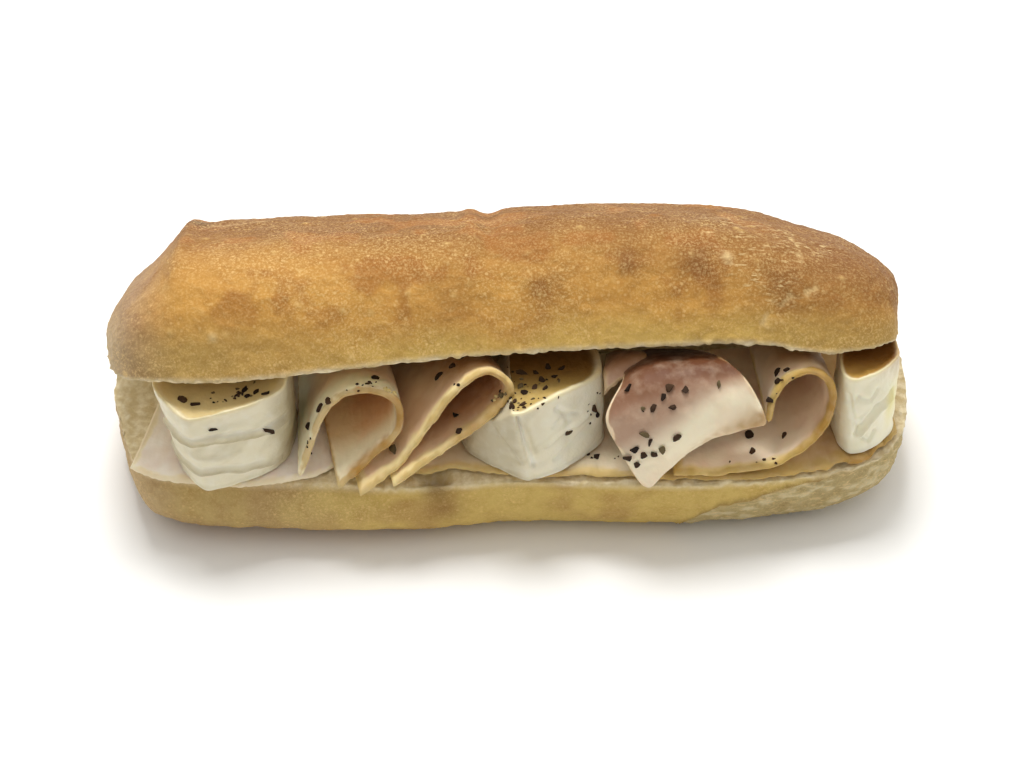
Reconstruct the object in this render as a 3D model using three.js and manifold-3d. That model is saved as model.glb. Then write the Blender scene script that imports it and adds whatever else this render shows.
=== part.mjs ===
// A submarine sandwich: a long flat-based bread roll, slit along its front and opened there,
// filled with flat and folded slices of cooked ham and pieces of soft white-rind cheese,
// with cracked black pepper on the filling.
// Millimetres. X runs along the roll, -Y is the open front, +Z is up, and the base lies on Z = 0.

import * as THREE from "three";
import { mergeVertices } from "three/addons/utils/BufferGeometryUtils.js";
import Module from "manifold-3d";

const wasm = await Module();
wasm.setup();

// Driving dimensions of the roll
const BREAD_LEFT = -110;
const LOWER_RIGHT = 113;
const UPPER_RIGHT = 108.8;
const CUT_HEIGHT = 24;
const SEAM = 0.3;
const BACK_Y = 34;
const LOWER_DOME = 27;
const UPPER_DOME = 32.5;

// How much further in each end of the roll stands at its front than at its middle
const LOWER_SLANT = { left: 9, right: 5 };
const UPPER_SLANT = { left: 6, right: 5 };

// The middle of the sandwich's box, which the finished group is moved back from
const MIDDLE_X = 1.5;
const MIDDLE_Y = 1.3;

// Smoothness of the solids
const BREAD_AROUND = 32;
const BREAD_ALONG = 40;
const CHEESE_AROUND = 24;
const RIM_POINTS = 90;

// Space between pieces that touch
const CLEARANCE = 0.35;

// Thickness of the folded and the flat slices of ham, and the level on which the filling stands
const HAM = 1.9;
const BASE_SLICE = 1.4;
const FILLING_FLOOR = 27;

// Size of a flake of cracked pepper
const FLAKE_LENGTH = 2.6;
const FLAKE_DEPTH = 1.3;
const FLAKE_APART = 2.4;

// [x, value] stations along the roll
const LOWER_FRONT = [
  [-110, -33],
  [-88, -32.5],
  [-56, -33.5],
  [-28, -36.5],
  [0, -35.5],
  [51, -38.5],
  [113, -37],
];
const LOWER_BULGE = [[-110, 3], [-56, 4.5], [-28, 2], [51, -0.5], [113, 0]];
const LIFTED_END = [[60, 0], [84, 2.5], [100, 7], [113, 12]];
const UPPER_REACH = [[-110, 70], [-73, 71], [-34, 68.5], [-5, 66.5], [60, 66], [86, 68.5], [108, 68]];
const UPPER_TILT = [[-110, 28.5], [-75, 27.8], [-20, 31], [40, 32.6], [66, 32.5], [84, 30.4], [108, 31.5]];
const UPPER_HEIGHT = [
  [-110, 0.3],
  [-104, 0.55],
  [-97, 0.71],
  [-91, 0.9],
  [-87, 1.03],
  [-82, 1],
  [-60, 1.01],
  [-13, 0.975],
  [-9, 1],
  [-4, 0.95],
  [1, 0.985],
  [25, 1.01],
  [50, 0.98],
  [68, 0.92],
  [82, 0.83],
  [96, 0.7],
  [108, 0.5],
];

const radians = THREE.MathUtils.degToRad;
const point = (x, y, z) => new THREE.Vector3(x, y, z);

// A smooth curve through [x, value] stations, level outside them.
function through(stations, x) {
  const last = stations.length - 1;
  if (x <= stations[0][0]) return stations[0][1];
  if (x >= stations[last][0]) return stations[last][1];
  let k = 0;
  while (x > stations[k + 1][0]) k += 1;
  const slope = (a, b) => {
    const [xa, va] = stations[Math.max(a, 0)];
    const [xb, vb] = stations[Math.min(b, last)];
    return (vb - va) / (xb - xa);
  };
  const [x0, v0] = stations[k];
  const [x1, v1] = stations[k + 1];
  const step = x1 - x0;
  const f = (x - x0) / step;
  const f2 = f * f;
  const f3 = f2 * f;
  const startPart = slope(k - 1, k + 1) * step * (f3 - 2 * f2 + f);
  const endPart = slope(k, k + 2) * step * (f3 - f2);
  return v0 * (2 * f3 - 3 * f2 + 1) + v1 * (3 * f2 - 2 * f3) + startPart + endPart;
}

// How far an outline closes at t from its middle (0) to its end (1). A high power is a blunt end.
function closing(t, power) {
  return Math.pow(Math.max(0, 1 - Math.pow(Math.abs(t), power)), 1 / power);
}

// A smooth swell, 1 at the middle of a spot and near 0 two radii away.
function swell(distance, radius) {
  return Math.exp(-((distance / radius) ** 2));
}

// Gentle lumps of a baked crust, about -1 to 1.
function lumps(x, y, z) {
  const broad = Math.sin(x / 17 + 1.3 * Math.sin(y / 19)) * Math.cos(y / 14 + z / 11 + 0.6);
  const middle = Math.sin(x / 7.5 - y / 9 + 1.1) * Math.sin(z / 6.5 + x / 21);
  const small = Math.sin(x / 3.9 + y / 5.3) * Math.cos(y / 4.1 - z / 3.7 + x / 8);
  return 0.55 * broad + 0.3 * middle + 0.15 * small;
}

// A repeatable stream of numbers from 0 to 1.
function randomStream(seed) {
  let state = seed;
  return () => {
    state = (state * 1664525 + 1013904223) % 4294967296;
    return state / 4294967296;
  };
}

// From shapes to solids and back

function toSolid(shape) {
  shape.deleteAttribute("normal");
  shape.deleteAttribute("uv");
  const joined = mergeVertices(shape, 1e-4);
  return new wasm.Manifold(
    new wasm.Mesh({
      numProp: 3,
      vertProperties: new Float32Array(joined.attributes.position.array),
      triVerts: new Uint32Array(joined.index.array),
    }),
  );
}

function toGeometry(solid) {
  const mesh = solid.getMesh();
  const shape = new THREE.BufferGeometry();
  const places = new Float32Array(mesh.numVert * 3);
  for (let i = 0; i < mesh.numVert; i += 1) {
    const start = i * mesh.numProp;
    places.set(mesh.vertProperties.subarray(start, start + 3), i * 3);
  }
  shape.setAttribute("position", new THREE.BufferAttribute(places, 3));
  shape.setIndex(new THREE.BufferAttribute(new Uint32Array(mesh.triVerts), 1));
  return shape;
}

// The largest body of a solid, without the scraps that a cut leaves.
function largestBody(solid) {
  return solid.decompose().reduce((a, b) => (b.volume() > a.volume() ? b : a));
}

// A closed body of rings, from one pole (row 0) to the other, turning counterclockwise as seen
// from the first pole. pointAt takes the share of a turn and the row.
function ringedBody(around, rows, pointAt) {
  const shape = new THREE.SphereGeometry(1, around, rows);
  const place = shape.attributes.position;
  for (let row = 0; row <= rows; row += 1) {
    for (let column = 0; column <= around; column += 1) {
      const p = pointAt((column % around) / around, row);
      place.setXYZ(row * (around + 1) + column, p.x, p.y, p.z);
    }
  }
  return toSolid(shape);
}

// The bread

// Height of the upper half's cut face over a point of the plan.
function upperCut(x, y) {
  return CUT_HEIGHT + SEAM + (BACK_Y - y) * Math.tan(radians(through(UPPER_TILT, x)));
}

// One point of the section of a half roll: a flat cut face for the first half turn, then a boxy
// dome. Gives the share across, from -1 to 1, and the share of the dome's depth.
function sectionPoint(turn, power) {
  const angle = turn * 2 * Math.PI;
  const across = Math.cos(angle);
  if (turn <= 0.5) return { across, depth: 0 };
  return {
    across: Math.sign(across) * Math.pow(Math.abs(across), 2 / power),
    depth: Math.pow(Math.abs(Math.sin(angle)), 2 / power),
  };
}

// The rise and fall of torn crumb on a cut face.
function crumb(x, y) {
  return 0.35 * Math.sin(x / 4.3 + 1.7 * Math.sin(y / 6)) * Math.sin(y / 3.6 + 0.5 * Math.sin(x / 5));
}

// X of a section at t from -1 to 1, at a share across with 1 at the front. The ends slant.
function alongRoll(t, right, slants, front) {
  const middle = (BREAD_LEFT + right) / 2;
  const half = (right - BREAD_LEFT) / 2;
  const slant = t < 0 ? slants.left : -slants.right;
  return middle + half * t + slant * Math.max(0, front) * Math.pow(Math.abs(t), 6);
}

function lowerPoint(turn, row) {
  const t = Math.cos((row / BREAD_ALONG) * Math.PI);
  const { across, depth } = sectionPoint(turn, 3.5);
  const plan = closing(t, t < 0 ? 8 : 4.6);
  const x = alongRoll(t, LOWER_RIGHT, LOWER_SLANT, -across * plan);
  const front = through(LOWER_FRONT, x);
  const wall = Math.sin(Math.min(1, depth) * Math.PI);
  const half = (BACK_Y - front) / 2 + through(LOWER_BULGE, x) * wall;
  const relief = 0.5 * plan * lumps(x, front * across, 20 * depth) * wall;
  const y = (BACK_Y + front) / 2 + (half * plan + relief) * across;
  const dome = LOWER_DOME * depth * closing(t, t < 0 ? 7 : 5) + relief;
  const bubble = depth === 0 ? 3.6 * swell(Math.hypot((x + 20) / 1.6, y + 34), 2.6) : 0;
  const z = CUT_HEIGHT + plan * crumb(x, y) * (depth === 0 ? 1 : 0.4) - dome - bubble;
  return point(x, y, Math.max(z, through(LIFTED_END, x)));
}

function upperPoint(turn, row) {
  const t = Math.cos((row / BREAD_ALONG) * Math.PI);
  const { across, depth } = sectionPoint(1 - turn, 3.4);
  const plan = closing(t, t < 0 ? 8 : 7);
  const x = alongRoll(t, UPPER_RIGHT, UPPER_SLANT, -across * plan);
  const reach = through(UPPER_REACH, x);
  const along = reach / 2 - (reach / 2) * plan * across;
  const dome = UPPER_DOME * through(UPPER_HEIGHT, x) * depth * closing(t, t < 0 ? 8 : 12);
  const relief = 0.7 * plan * lumps(x, along, dome) * Math.min(1, depth * 2);
  const rise = dome + relief + (depth === 0 ? Math.abs(crumb(x, along)) * plan : 0);
  const tilt = radians(through(UPPER_TILT, x));
  const y = BACK_Y - along * Math.cos(tilt) + rise * Math.sin(tilt);
  const z = CUT_HEIGHT + SEAM + along * Math.sin(tilt) + rise * Math.cos(tilt);
  return point(x, y, z);
}

// Slices of ham

// A smooth curve through points, at a share of the way along.
function curveThrough(points, share) {
  return new THREE.CatmullRomCurve3(points, false, "catmullrom", 0.5).getPoint(share);
}

// A surface through rows of points: u runs along a row and v from the first row to the last.
function patch(rows) {
  return (u, v) => curveThrough(rows.map((row) => curveThrough(row, u)), v);
}

// Rows that run back from a front edge into the wedge between the two halves, towards its hinge.
// They lean along the roll, by one amount at the start of the edge and another at its end.
function receding(front, shares, [startLean, endLean]) {
  return shares.map((share) =>
    front.map((p, k) => {
      const left = 1 - share;
      const lean = startLean + ((endLean - startLean) * k) / (front.length - 1);
      const z = CUT_HEIGHT + (p.z - CUT_HEIGHT) * left;
      const lowest = FILLING_FLOOR + HAM / 2;
      return point(p.x + lean * share, BACK_Y - (BACK_Y - p.y) * left, Math.max(z, lowest));
    }),
  );
}

function normalOf(surface, u, v, d = 1e-3) {
  const alongU = surface(Math.min(1, u + d), v).sub(surface(Math.max(0, u - d), v));
  const alongV = surface(u, Math.min(1, v + d)).sub(surface(u, Math.max(0, v - d)));
  return alongU.cross(alongV).normalize();
}

// A thin closed solid of even thickness over a surface, both faces split into triangles alike.
// The margin lets the border of the sheet stand further out, for a cutter.
function sheetSolid(surface, [uSteps, vSteps], thickness, margin = 0) {
  const columns = uSteps + 1;
  const count = columns * (vSteps + 1);
  const places = [];
  const outwards = (u, v) => {
    const inner = surface(THREE.MathUtils.clamp(u, 0.01, 0.99), THREE.MathUtils.clamp(v, 0.01, 0.99));
    const out = surface(u, v).sub(inner);
    return out.length() > 0 ? out.normalize() : out;
  };
  [0.5, -0.5].forEach((side) => {
    for (let j = 0; j <= vSteps; j += 1) {
      for (let i = 0; i <= uSteps; i += 1) {
        const u = i / uSteps;
        const v = j / vSteps;
        const p = surface(u, v).addScaledVector(normalOf(surface, u, v), side * thickness);
        p.addScaledVector(outwards(u, v), margin);
        places.push(p.x, p.y, p.z);
      }
    }
  });
  const index = [];
  const faces = new THREE.PlaneGeometry(1, 1, uSteps, vSteps).index.array;
  for (let k = 0; k < faces.length; k += 3) {
    const [a, b, c] = [faces[k], faces[k + 1], faces[k + 2]];
    index.push(a, c, b, count + a, count + b, count + c);
  }
  const rim = [];
  for (let i = 0; i < uSteps; i += 1) rim.push([i, i + 1]);
  for (let j = 0; j < vSteps; j += 1) rim.push([j * columns + uSteps, (j + 1) * columns + uSteps]);
  for (let i = uSteps; i > 0; i -= 1) rim.push([vSteps * columns + i, vSteps * columns + i - 1]);
  for (let j = vSteps; j > 0; j -= 1) rim.push([j * columns, (j - 1) * columns]);
  rim.forEach(([a, b]) => index.push(b, a, count + a, b, count + a, count + b));
  const shape = new THREE.BufferGeometry();
  shape.setAttribute("position", new THREE.Float32BufferAttribute(places, 3));
  shape.setIndex(index);
  return toSolid(shape);
}

// A flat slice on the lower half, between two x, with a wavy front edge. Its left side may lean
// in towards the back.
function baseSlice({ from, to, lean, front, back, wave, pitch }) {
  const level = CUT_HEIGHT + 2 * CLEARANCE + BASE_SLICE / 2;
  return (u, v) => {
    const x = from + (to - from) * u + lean * v * (1 - u);
    const edge = through(front, x);
    const y = edge + (back - edge) * v;
    const ripple = through(wave, x) * (1 - v) * Math.sin((x / pitch) * 2 * Math.PI + 0.08 * y);
    return point(x, y - ripple, level + Math.abs(ripple));
  };
}

// The folded slices, each by the points of its front edge from one end of the edge to the other

const ROLL_1_FRONT = [
  point(-56.5, -35.6, 28.8),
  point(-54, -33, 35),
  point(-49.5, -29.3, 45.5),
  point(-43.5, -27.2, 50.7),
  point(-35.5, -27, 51.2),
  point(-29.6, -28, 47.4),
  point(-29.8, -31, 39.8),
  point(-37, -34, 33),
  point(-46.3, -38.4, 25.8),
];

const ROLL_2_FRONT = [
  point(-40.5, -40, 24.8),
  point(-29.6, -35.2, 31.6),
  point(-21.2, -31.2, 42.5),
  point(-12.5, -27.6, 53),
  point(-5, -26, 56.6),
  point(0.6, -27.6, 51.6),
  point(-4.6, -30.5, 44.6),
  point(-16.5, -33.6, 36),
  point(-31.5, -39, 27.2),
];

const ROLL_4_FRONT = [
  point(44, -38, 28),
  point(58, -38, 27.9),
  point(72, -36.4, 29.2),
  point(81.5, -33.6, 34.5),
  point(86, -30.6, 41.6),
  point(86, -27.8, 49.5),
  point(81, -26.2, 53.8),
  point(74.5, -26.8, 52),
  point(70.5, -29, 46.4),
  point(69.5, -31.4, 40.5),
];

const ROLL_3_ROWS = [
  [point(41, -32.6, 30), point(50, -31, 33.5), point(59.5, -29.6, 37), point(66, -29, 41)],
  [point(36.2, -40.4, 26.2), point(47, -35.9, 35.7), point(56.5, -34.2, 40.6), point(68.3, -33.3, 43)],
  [point(29, -36.8, 37.4), point(43, -37, 42.5), point(54.5, -34.4, 47.2), point(66, -31.2, 49)],
  [point(25.4, -33.4, 46.2), point(38, -32.8, 51.2), point(51, -30.4, 54.6), point(62, -28, 54.6)],
  [point(30.5, -24, 50), point(38, -23, 54), point(48, -22, 55), point(57, -21, 54)],
  [point(32, -6, 40), point(38, -5, 42), point(46, -5, 42), point(54, -5, 41)],
];

const FOLD_ROWS = [
  [point(25.8, -22.4, 43.5), point(28.6, -21.6, 46.2), point(32.6, -20, 48.4), point(37, -18.4, 50)],
  [point(25.8, -18.4, 47.6), point(28.8, -17.2, 49.4), point(32.8, -16, 50.4), point(37.6, -15, 50.4)],
  [point(27.5, -5, 41), point(30, -5, 42), point(33, -5, 42), point(38, -5, 41)],
];

// How far back the rows of a rolled slice lie behind its front edge
const RECEDING_SHARES = [0.22, 0.44, 0.66];

const HAM_SLICES = {
  ham_roll_1: {
    surface: patch([ROLL_1_FRONT, ...receding(ROLL_1_FRONT, RECEDING_SHARES, [-3, -13])]),
    steps: [24, 5],
    thickness: HAM,
  },
  ham_roll_2: {
    surface: patch([ROLL_2_FRONT, ...receding(ROLL_2_FRONT, RECEDING_SHARES, [-16, -16])]),
    steps: [24, 5],
    thickness: HAM,
  },
  ham_roll_3: { surface: patch(ROLL_3_ROWS), steps: [12, 11], thickness: HAM },
  ham_roll_4: {
    surface: patch([ROLL_4_FRONT, ...receding(ROLL_4_FRONT, RECEDING_SHARES, [0, 0])]),
    steps: [24, 5],
    thickness: HAM,
  },
  ham_fold: { surface: patch(FOLD_ROWS), steps: [7, 4], thickness: HAM },
  ham_base_left: {
    surface: baseSlice({
      from: -103,
      to: -42,
      lean: 9,
      front: [[-103, -28], [-97, -32], [-88, -34.5], [-72, -36], [-60, -34.5], [-50, -31.5], [-42, -24]],
      back: 12,
      wave: [[-103, 0.3], [-42, 0.1]],
      pitch: 31,
    }),
    steps: [12, 5],
    thickness: BASE_SLICE,
  },
  ham_base_middle: {
    surface: baseSlice({
      from: -33,
      to: 37.5,
      lean: 0,
      front: [[-33, -24], [-26, -32.5], [-16, -32], [8, -35], [37.5, -36]],
      back: 12,
      wave: [[-33, 0.1], [-20, 0.4], [37, 0.4]],
      pitch: 17,
    }),
    steps: [14, 5],
    thickness: BASE_SLICE,
  },
  ham_base_right: {
    surface: baseSlice({
      from: 38.5,
      to: 107,
      lean: 0,
      front: [[38.5, -37], [60, -38], [76, -37], [90, -34], [99, -31], [107, -22]],
      back: 12,
      wave: [[38, 0.2], [74, 0.2], [90, 0.7], [107, 0.8]],
      pitch: 11,
    }),
    steps: [24, 5],
    thickness: BASE_SLICE,
  },
};

// Pieces of cheese, each by its outline at the base and at the top, counterclockwise from the left

const CHEESES = {
  cheese_1: {
    bottom: [[-84, -8], [-90, -19], [-89, -29.5], [-82.5, -38], [-78, -38], [-67, -33.5], [-60, -26], [-60, -8]],
    top: [[-88, -8], [-95, -21], [-89, -31], [-84.6, -34.8], [-76, -33.6], [-67, -31], [-59, -25], [-61, -8]],
    height: 52,
    rise: [0.07, 0.08],
    dish: 2.6,
  },
  cheese_2: {
    bottom: [[-3, -6], [-12, -18], [-11, -27], [2.6, -37.2], [7, -37.6], [16, -33], [25.5, -23], [22, -6]],
    top: [[2, -6], [-5, -18], [-5, -27], [-0.5, -34], [3, -34.6], [13, -28], [25, -19.6], [22, -6]],
    height: 49.5,
    rise: [0, 0],
    dish: 1,
  },
  cheese_3: {
    bottom: [[92, -8], [89, -18], [89.8, -27], [92.4, -31], [97, -30.5], [102, -27], [106, -20], [104, -8]],
    top: [[92, -7], [89, -18], [89.2, -25.5], [92, -27.6], [97, -26], [102, -22.5], [105.6, -17], [103, -7]],
    height: 52,
    rise: [0, 0],
    dish: 1,
  },
};

// The side profile of a piece of cheese, from the middle of its top to the middle of its base:
// share of the outline, share of the height, and share of the dip in the top face.
const CHEESE_ROWS = [
  { share: 0, up: 1, dip: 1 },
  { share: 0.5, up: 1, dip: 0.8 },
  { share: 0.86, up: 1, dip: 0.3 },
  { share: 0.965, up: 1, dip: 0 },
  { share: 1, up: 0.95, dip: 0 },
  { share: 1.015, up: 0.78, dip: 0 },
  { share: 1.02, up: 0.6, dip: 0 },
  { share: 1.02, up: 0.42, dip: 0 },
  { share: 1.01, up: 0.22, dip: 0 },
  { share: 1, up: 0.06, dip: 0 },
  { share: 0.94, up: 0, dip: 0 },
  { share: 0, up: 0, dip: 0 },
];
const TOP_ROWS = 4;

function closedOutline(corners, turn) {
  const points = corners.map(([x, y]) => point(x, y, 0));
  return new THREE.CatmullRomCurve3(points, true, "catmullrom", 0.4).getPoint(turn);
}

function outlineMiddle(corners) {
  const middle = point(0, 0, 0);
  corners.forEach(([x, y]) => middle.add(point(x, y, 0)));
  return middle.divideScalar(corners.length);
}

// The top rises a little along X and Y, and is lower where the upper bread presses on it.
function cheeseTop(cheese, x, y) {
  const middle = outlineMiddle(cheese.top);
  const height = cheese.height + cheese.rise[0] * (x - middle.x) + cheese.rise[1] * (y - middle.y);
  return Math.min(height, upperCut(x, y) - 2 * CLEARANCE);
}

function cheesePoint(cheese, turn, row, margin = 0) {
  const { share, up, dip } = CHEESE_ROWS[row];
  const middle = outlineMiddle(cheese.top);
  const p = closedOutline(cheese.bottom, turn).lerp(closedOutline(cheese.top, turn), up);
  p.sub(middle);
  p.setLength(p.length() * share + (share > 0.9 ? margin : 0));
  p.add(middle);
  const top = cheeseTop(cheese, p.x, p.y) - cheese.dish * dip + margin;
  const floor = FILLING_FLOOR - margin;
  p.z = floor + (top - floor) * up;
  return p;
}

// Pepper

// One angular flake, flat along the surface that it lies on.
function flake(place, normal, size, turn) {
  const shape = new THREE.IcosahedronGeometry(0.5, 0);
  shape.scale(size, size * 0.75, FLAKE_DEPTH);
  const upright = new THREE.Quaternion().setFromUnitVectors(point(0, 0, 1), normal);
  const spin = new THREE.Quaternion().setFromAxisAngle(normal, turn);
  shape.applyQuaternion(spin.multiply(upright));
  shape.translate(place.x, place.y, place.z);
  return toSolid(shape);
}

// Where the flakes lie: clusters on a face, each with its middle, its spread and its count.
function scatter(clusters, seed, placeOn) {
  const random = randomStream(seed);
  const placed = [];
  clusters.forEach(({ u, v, spreadU, spreadV, count }) => {
    for (let k = 0; k < count; k += 1) {
      const atU = u + spreadU * (random() + random() - 1);
      const atV = v + spreadV * (random() + random() - 1);
      const size = FLAKE_LENGTH * (0.75 + 0.5 * random());
      const turn = random() * Math.PI;
      const { place, normal } = placeOn(atU, atV);
      if (placed.some((other) => other.place.distanceTo(place) < FLAKE_APART)) continue;
      placed.push({ place, normal, size, turn });
    }
  });
  return placed.map(({ place, normal, size, turn }) => flake(place, normal, size, turn));
}

// On a slice of ham, u and v are the surface's own, kept off its border, and face is 1 or -1.
function onHam({ surface, thickness }, face) {
  return (u, v) => {
    const across = THREE.MathUtils.clamp(u, 0.02, 0.98);
    const back = THREE.MathUtils.clamp(v, 0.02, 0.98);
    const normal = normalOf(surface, across, back).multiplyScalar(face);
    return { place: surface(across, back).addScaledVector(normal, thickness / 2), normal };
  };
}

// How far the dished top of a piece of cheese lies below its rim, over a point of the plan.
function dipAt(cheese, x, y) {
  const middle = outlineMiddle(cheese.top);
  const out = point(x, y, 0).sub(middle);
  const facing = (p) => p.dot(out) / p.length();
  const turns = Array.from({ length: RIM_POINTS }, (_, k) => k / RIM_POINTS);
  const rim = turns.map((turn) => closedOutline(cheese.top, turn).sub(middle));
  const nearest = rim.reduce((a, b) => (facing(b) > facing(a) ? b : a));
  const stations = CHEESE_ROWS.slice(0, TOP_ROWS).map(({ share, dip }) => [share, dip]);
  return cheese.dish * through(stations, out.length() / nearest.length());
}

// On the top of a piece of cheese, u and v are X and Y.
function onCheeseTop(cheese) {
  return (u, v) => {
    const height = cheeseTop(cheese, u, v) - dipAt(cheese, u, v);
    return { place: point(u, v, height), normal: point(0, 0, 1) };
  };
}

// On the wall of a piece of cheese, u is the share of a turn and v the share of the height.
function onCheeseWall(cheese) {
  const wall = (u, v) => {
    const low = closedOutline(cheese.bottom, u);
    const high = closedOutline(cheese.top, u);
    const p = low.lerp(high, v);
    p.z = FILLING_FLOOR + (cheeseTop(cheese, p.x, p.y) - FILLING_FLOOR) * v;
    return p;
  };
  return (u, v) => ({ place: wall(u, v), normal: normalOf(wall, u, v) });
}

// The clusters on each face. On ham, u and v are shares of the slice; on cheese, X and Y on the
// top, and a share of a turn and of the height on the wall.
const PEPPER = {
  ham_roll_1: [
    { face: 1, seed: 1306, clusters: [spot(0.24, 0.08, 0.12, 0.1, 4), spot(0.52, 0.18, 0.03, 0.05, 1)] },
  ],
  ham_roll_2: [
    { face: 1, seed: 282, clusters: [spot(0.38, 0.27, 0.07, 0.08, 4), spot(0.13, 0.08, 0.03, 0.04, 1)] },
    { face: -1, seed: 1172, clusters: [spot(0.83, 0.12, 0.02, 0.12, 2), spot(0.68, 0.03, 0.03, 0.03, 1)] },
  ],
  ham_roll_3: [
    {
      face: 1,
      seed: 207,
      clusters: [
        spot(0.42, 0.58, 0.16, 0.07, 7),
        spot(0.2, 0.38, 0.2, 0.1, 10),
        spot(0.14, 0.7, 0.05, 0.05, 2),
        spot(0.77, 0.59, 0.05, 0.03, 2),
      ],
    },
  ],
  ham_roll_4: [
    { face: -1, seed: 1057, clusters: [spot(0.82, 0.1, 0.08, 0.14, 5)] },
    { face: 1, seed: 1485, clusters: [spot(0.2, 0.16, 0.07, 0.12, 3)] },
  ],
  ham_base_middle: [{ face: 1, seed: 51, clusters: [spot(0.8, 0.12, 0.04, 0.06, 3)] }],
  cheese_1: [
    { face: "top", seed: 1057, clusters: [spot(-69, -25, 4.5, 3, 9), spot(-84, -27, 5, 2.5, 3)] },
    { face: "wall", seed: 62, clusters: [spot(0.47, 0.8, 0.02, 0.05, 1), spot(0.67, 0.6, 0.02, 0.05, 1)] },
  ],
  cheese_2: [
    {
      face: "top",
      seed: 1416,
      clusters: [spot(6.5, -21, 7, 6, 13), spot(13, -16, 5, 4, 4), spot(2, -30.5, 3.5, 1.5, 5)],
    },
    { face: "wall", seed: 72, clusters: [spot(0.72, 0.6, 0.02, 0.25, 5), spot(0.64, 0.5, 0.02, 0.1, 2)] },
  ],
};

function spot(u, v, spreadU, spreadV, count) {
  return { u, v, spreadU, spreadV, count };
}

function flakesOn(name) {
  const placeOn = (face) => {
    if (face === "top") return onCheeseTop(CHEESES[name]);
    if (face === "wall") return onCheeseWall(CHEESES[name]);
    return onHam(HAM_SLICES[name], face);
  };
  return (PEPPER[name] ?? []).flatMap(({ face, seed, clusters }) => scatter(clusters, seed, placeOn(face)));
}

// The assembled sandwich

const materials = {
  crust: { color: "#c08c48", roughness: 0.7 },
  ham: { color: "#dcb8a4", roughness: 0.45 },
  cheese: { color: "#e8e2c6", roughness: 0.5 },
};

function hamSolid(name) {
  const { surface, steps, thickness } = HAM_SLICES[name];
  return sheetSolid(surface, steps, thickness);
}

function hamCutter(name) {
  const { surface, steps, thickness } = HAM_SLICES[name];
  return sheetSolid(surface, steps, thickness + 2 * CLEARANCE, CLEARANCE);
}

function cheeseSolid(name, margin = 0) {
  const rows = CHEESE_ROWS.length - 1;
  return ringedBody(CHEESE_AROUND, rows, (turn, row) => cheesePoint(CHEESES[name], turn, row, margin));
}

const sandwich = new THREE.Group();
const whole = new THREE.Group();
whole.position.set(-MIDDLE_X, -MIDDLE_Y, 0);
sandwich.add(whole);

// Adds a piece with the pepper that lies on it, cut back from the neighbours that press on it.
function addNode(name, solid, finish, cutters = []) {
  const peppered = largestBody(flakesOn(name).reduce((all, flake) => all.add(flake), solid));
  const cut = cutters.reduce((left, cutter) => largestBody(left.subtract(cutter)), peppered);
  const material = new THREE.MeshStandardMaterial({ ...materials[finish], metalness: 0 });
  const mesh = new THREE.Mesh(toGeometry(cut), material);
  mesh.name = name;
  whole.add(mesh);
}

addNode("bread_bottom", ringedBody(BREAD_AROUND, BREAD_ALONG, lowerPoint), "crust");
addNode("bread_top", ringedBody(BREAD_AROUND, BREAD_ALONG, upperPoint), "crust");
addNode("cheese_1", cheeseSolid("cheese_1"), "cheese");
addNode("cheese_2", cheeseSolid("cheese_2"), "cheese", [hamCutter("ham_roll_2").hull()]);
addNode("cheese_3", cheeseSolid("cheese_3"), "cheese");
addNode("ham_roll_1", hamSolid("ham_roll_1"), "ham");
addNode("ham_roll_2", hamSolid("ham_roll_2"), "ham", [hamCutter("ham_roll_1")]);
addNode("ham_roll_3", hamSolid("ham_roll_3"), "ham");
addNode("ham_roll_4", hamSolid("ham_roll_4"), "ham");
const foldCutters = [hamCutter("ham_roll_3"), cheeseSolid("cheese_2", CLEARANCE)];
addNode("ham_fold", hamSolid("ham_fold"), "ham", foldCutters);
["ham_base_left", "ham_base_middle", "ham_base_right"].forEach((name) => addNode(name, hamSolid(name), "ham"));

export default sandwich;
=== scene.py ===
# The looks of a submarine sandwich: a long bread roll opened along its front and filled with
# folded ham, soft white-rind cheese and cracked pepper.
# Shapes are worked out in millimetres, in the frame of the part's source, and become metres
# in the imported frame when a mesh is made.

import itertools
import math

import bpy
import numpy as np
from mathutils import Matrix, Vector
from mathutils.bvhtree import BVHTree


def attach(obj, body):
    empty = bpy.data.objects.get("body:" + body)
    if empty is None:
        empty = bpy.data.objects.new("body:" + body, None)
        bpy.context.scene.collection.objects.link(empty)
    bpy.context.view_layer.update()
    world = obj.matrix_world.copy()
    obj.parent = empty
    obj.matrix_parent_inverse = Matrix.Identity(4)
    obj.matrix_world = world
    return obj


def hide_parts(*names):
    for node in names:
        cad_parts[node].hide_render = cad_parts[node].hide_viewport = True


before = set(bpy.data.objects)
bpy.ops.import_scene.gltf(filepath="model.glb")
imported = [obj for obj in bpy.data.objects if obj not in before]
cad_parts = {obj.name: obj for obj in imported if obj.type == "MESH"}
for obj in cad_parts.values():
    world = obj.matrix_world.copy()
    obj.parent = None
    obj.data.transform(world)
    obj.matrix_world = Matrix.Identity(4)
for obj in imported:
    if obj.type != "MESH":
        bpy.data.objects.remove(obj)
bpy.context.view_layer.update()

SOURCE_MIDDLE = np.array([1.5, 1.3, 0.0])
METRE = 1000.0

# Driving dimensions, as in the part's source: the powers say how square the sections and the two
# ends of each half are
BREAD_LEFT = -110
LOWER_RIGHT = 113
UPPER_RIGHT = 108.8
CUT_HEIGHT = 24
SEAM = 0.3
BACK_Y = 34
LOWER_DOME = 27
UPPER_DOME = 32.5
LOWER_SLANT = {"left": 9, "right": 5}
UPPER_SLANT = {"left": 6, "right": 5}
LOWER_POWER = 3.5
UPPER_POWER = 3.4
LOWER_ENDS = (8, 4.6)
UPPER_ENDS = (8, 7)
CLEARANCE = 0.35
HAM = 1.9
BASE_SLICE = 1.4
FILLING_FLOOR = 27
BASE_BACK = 12
CURVE_TENSION = 0.5
OUTLINE_TENSION = 0.4

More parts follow.
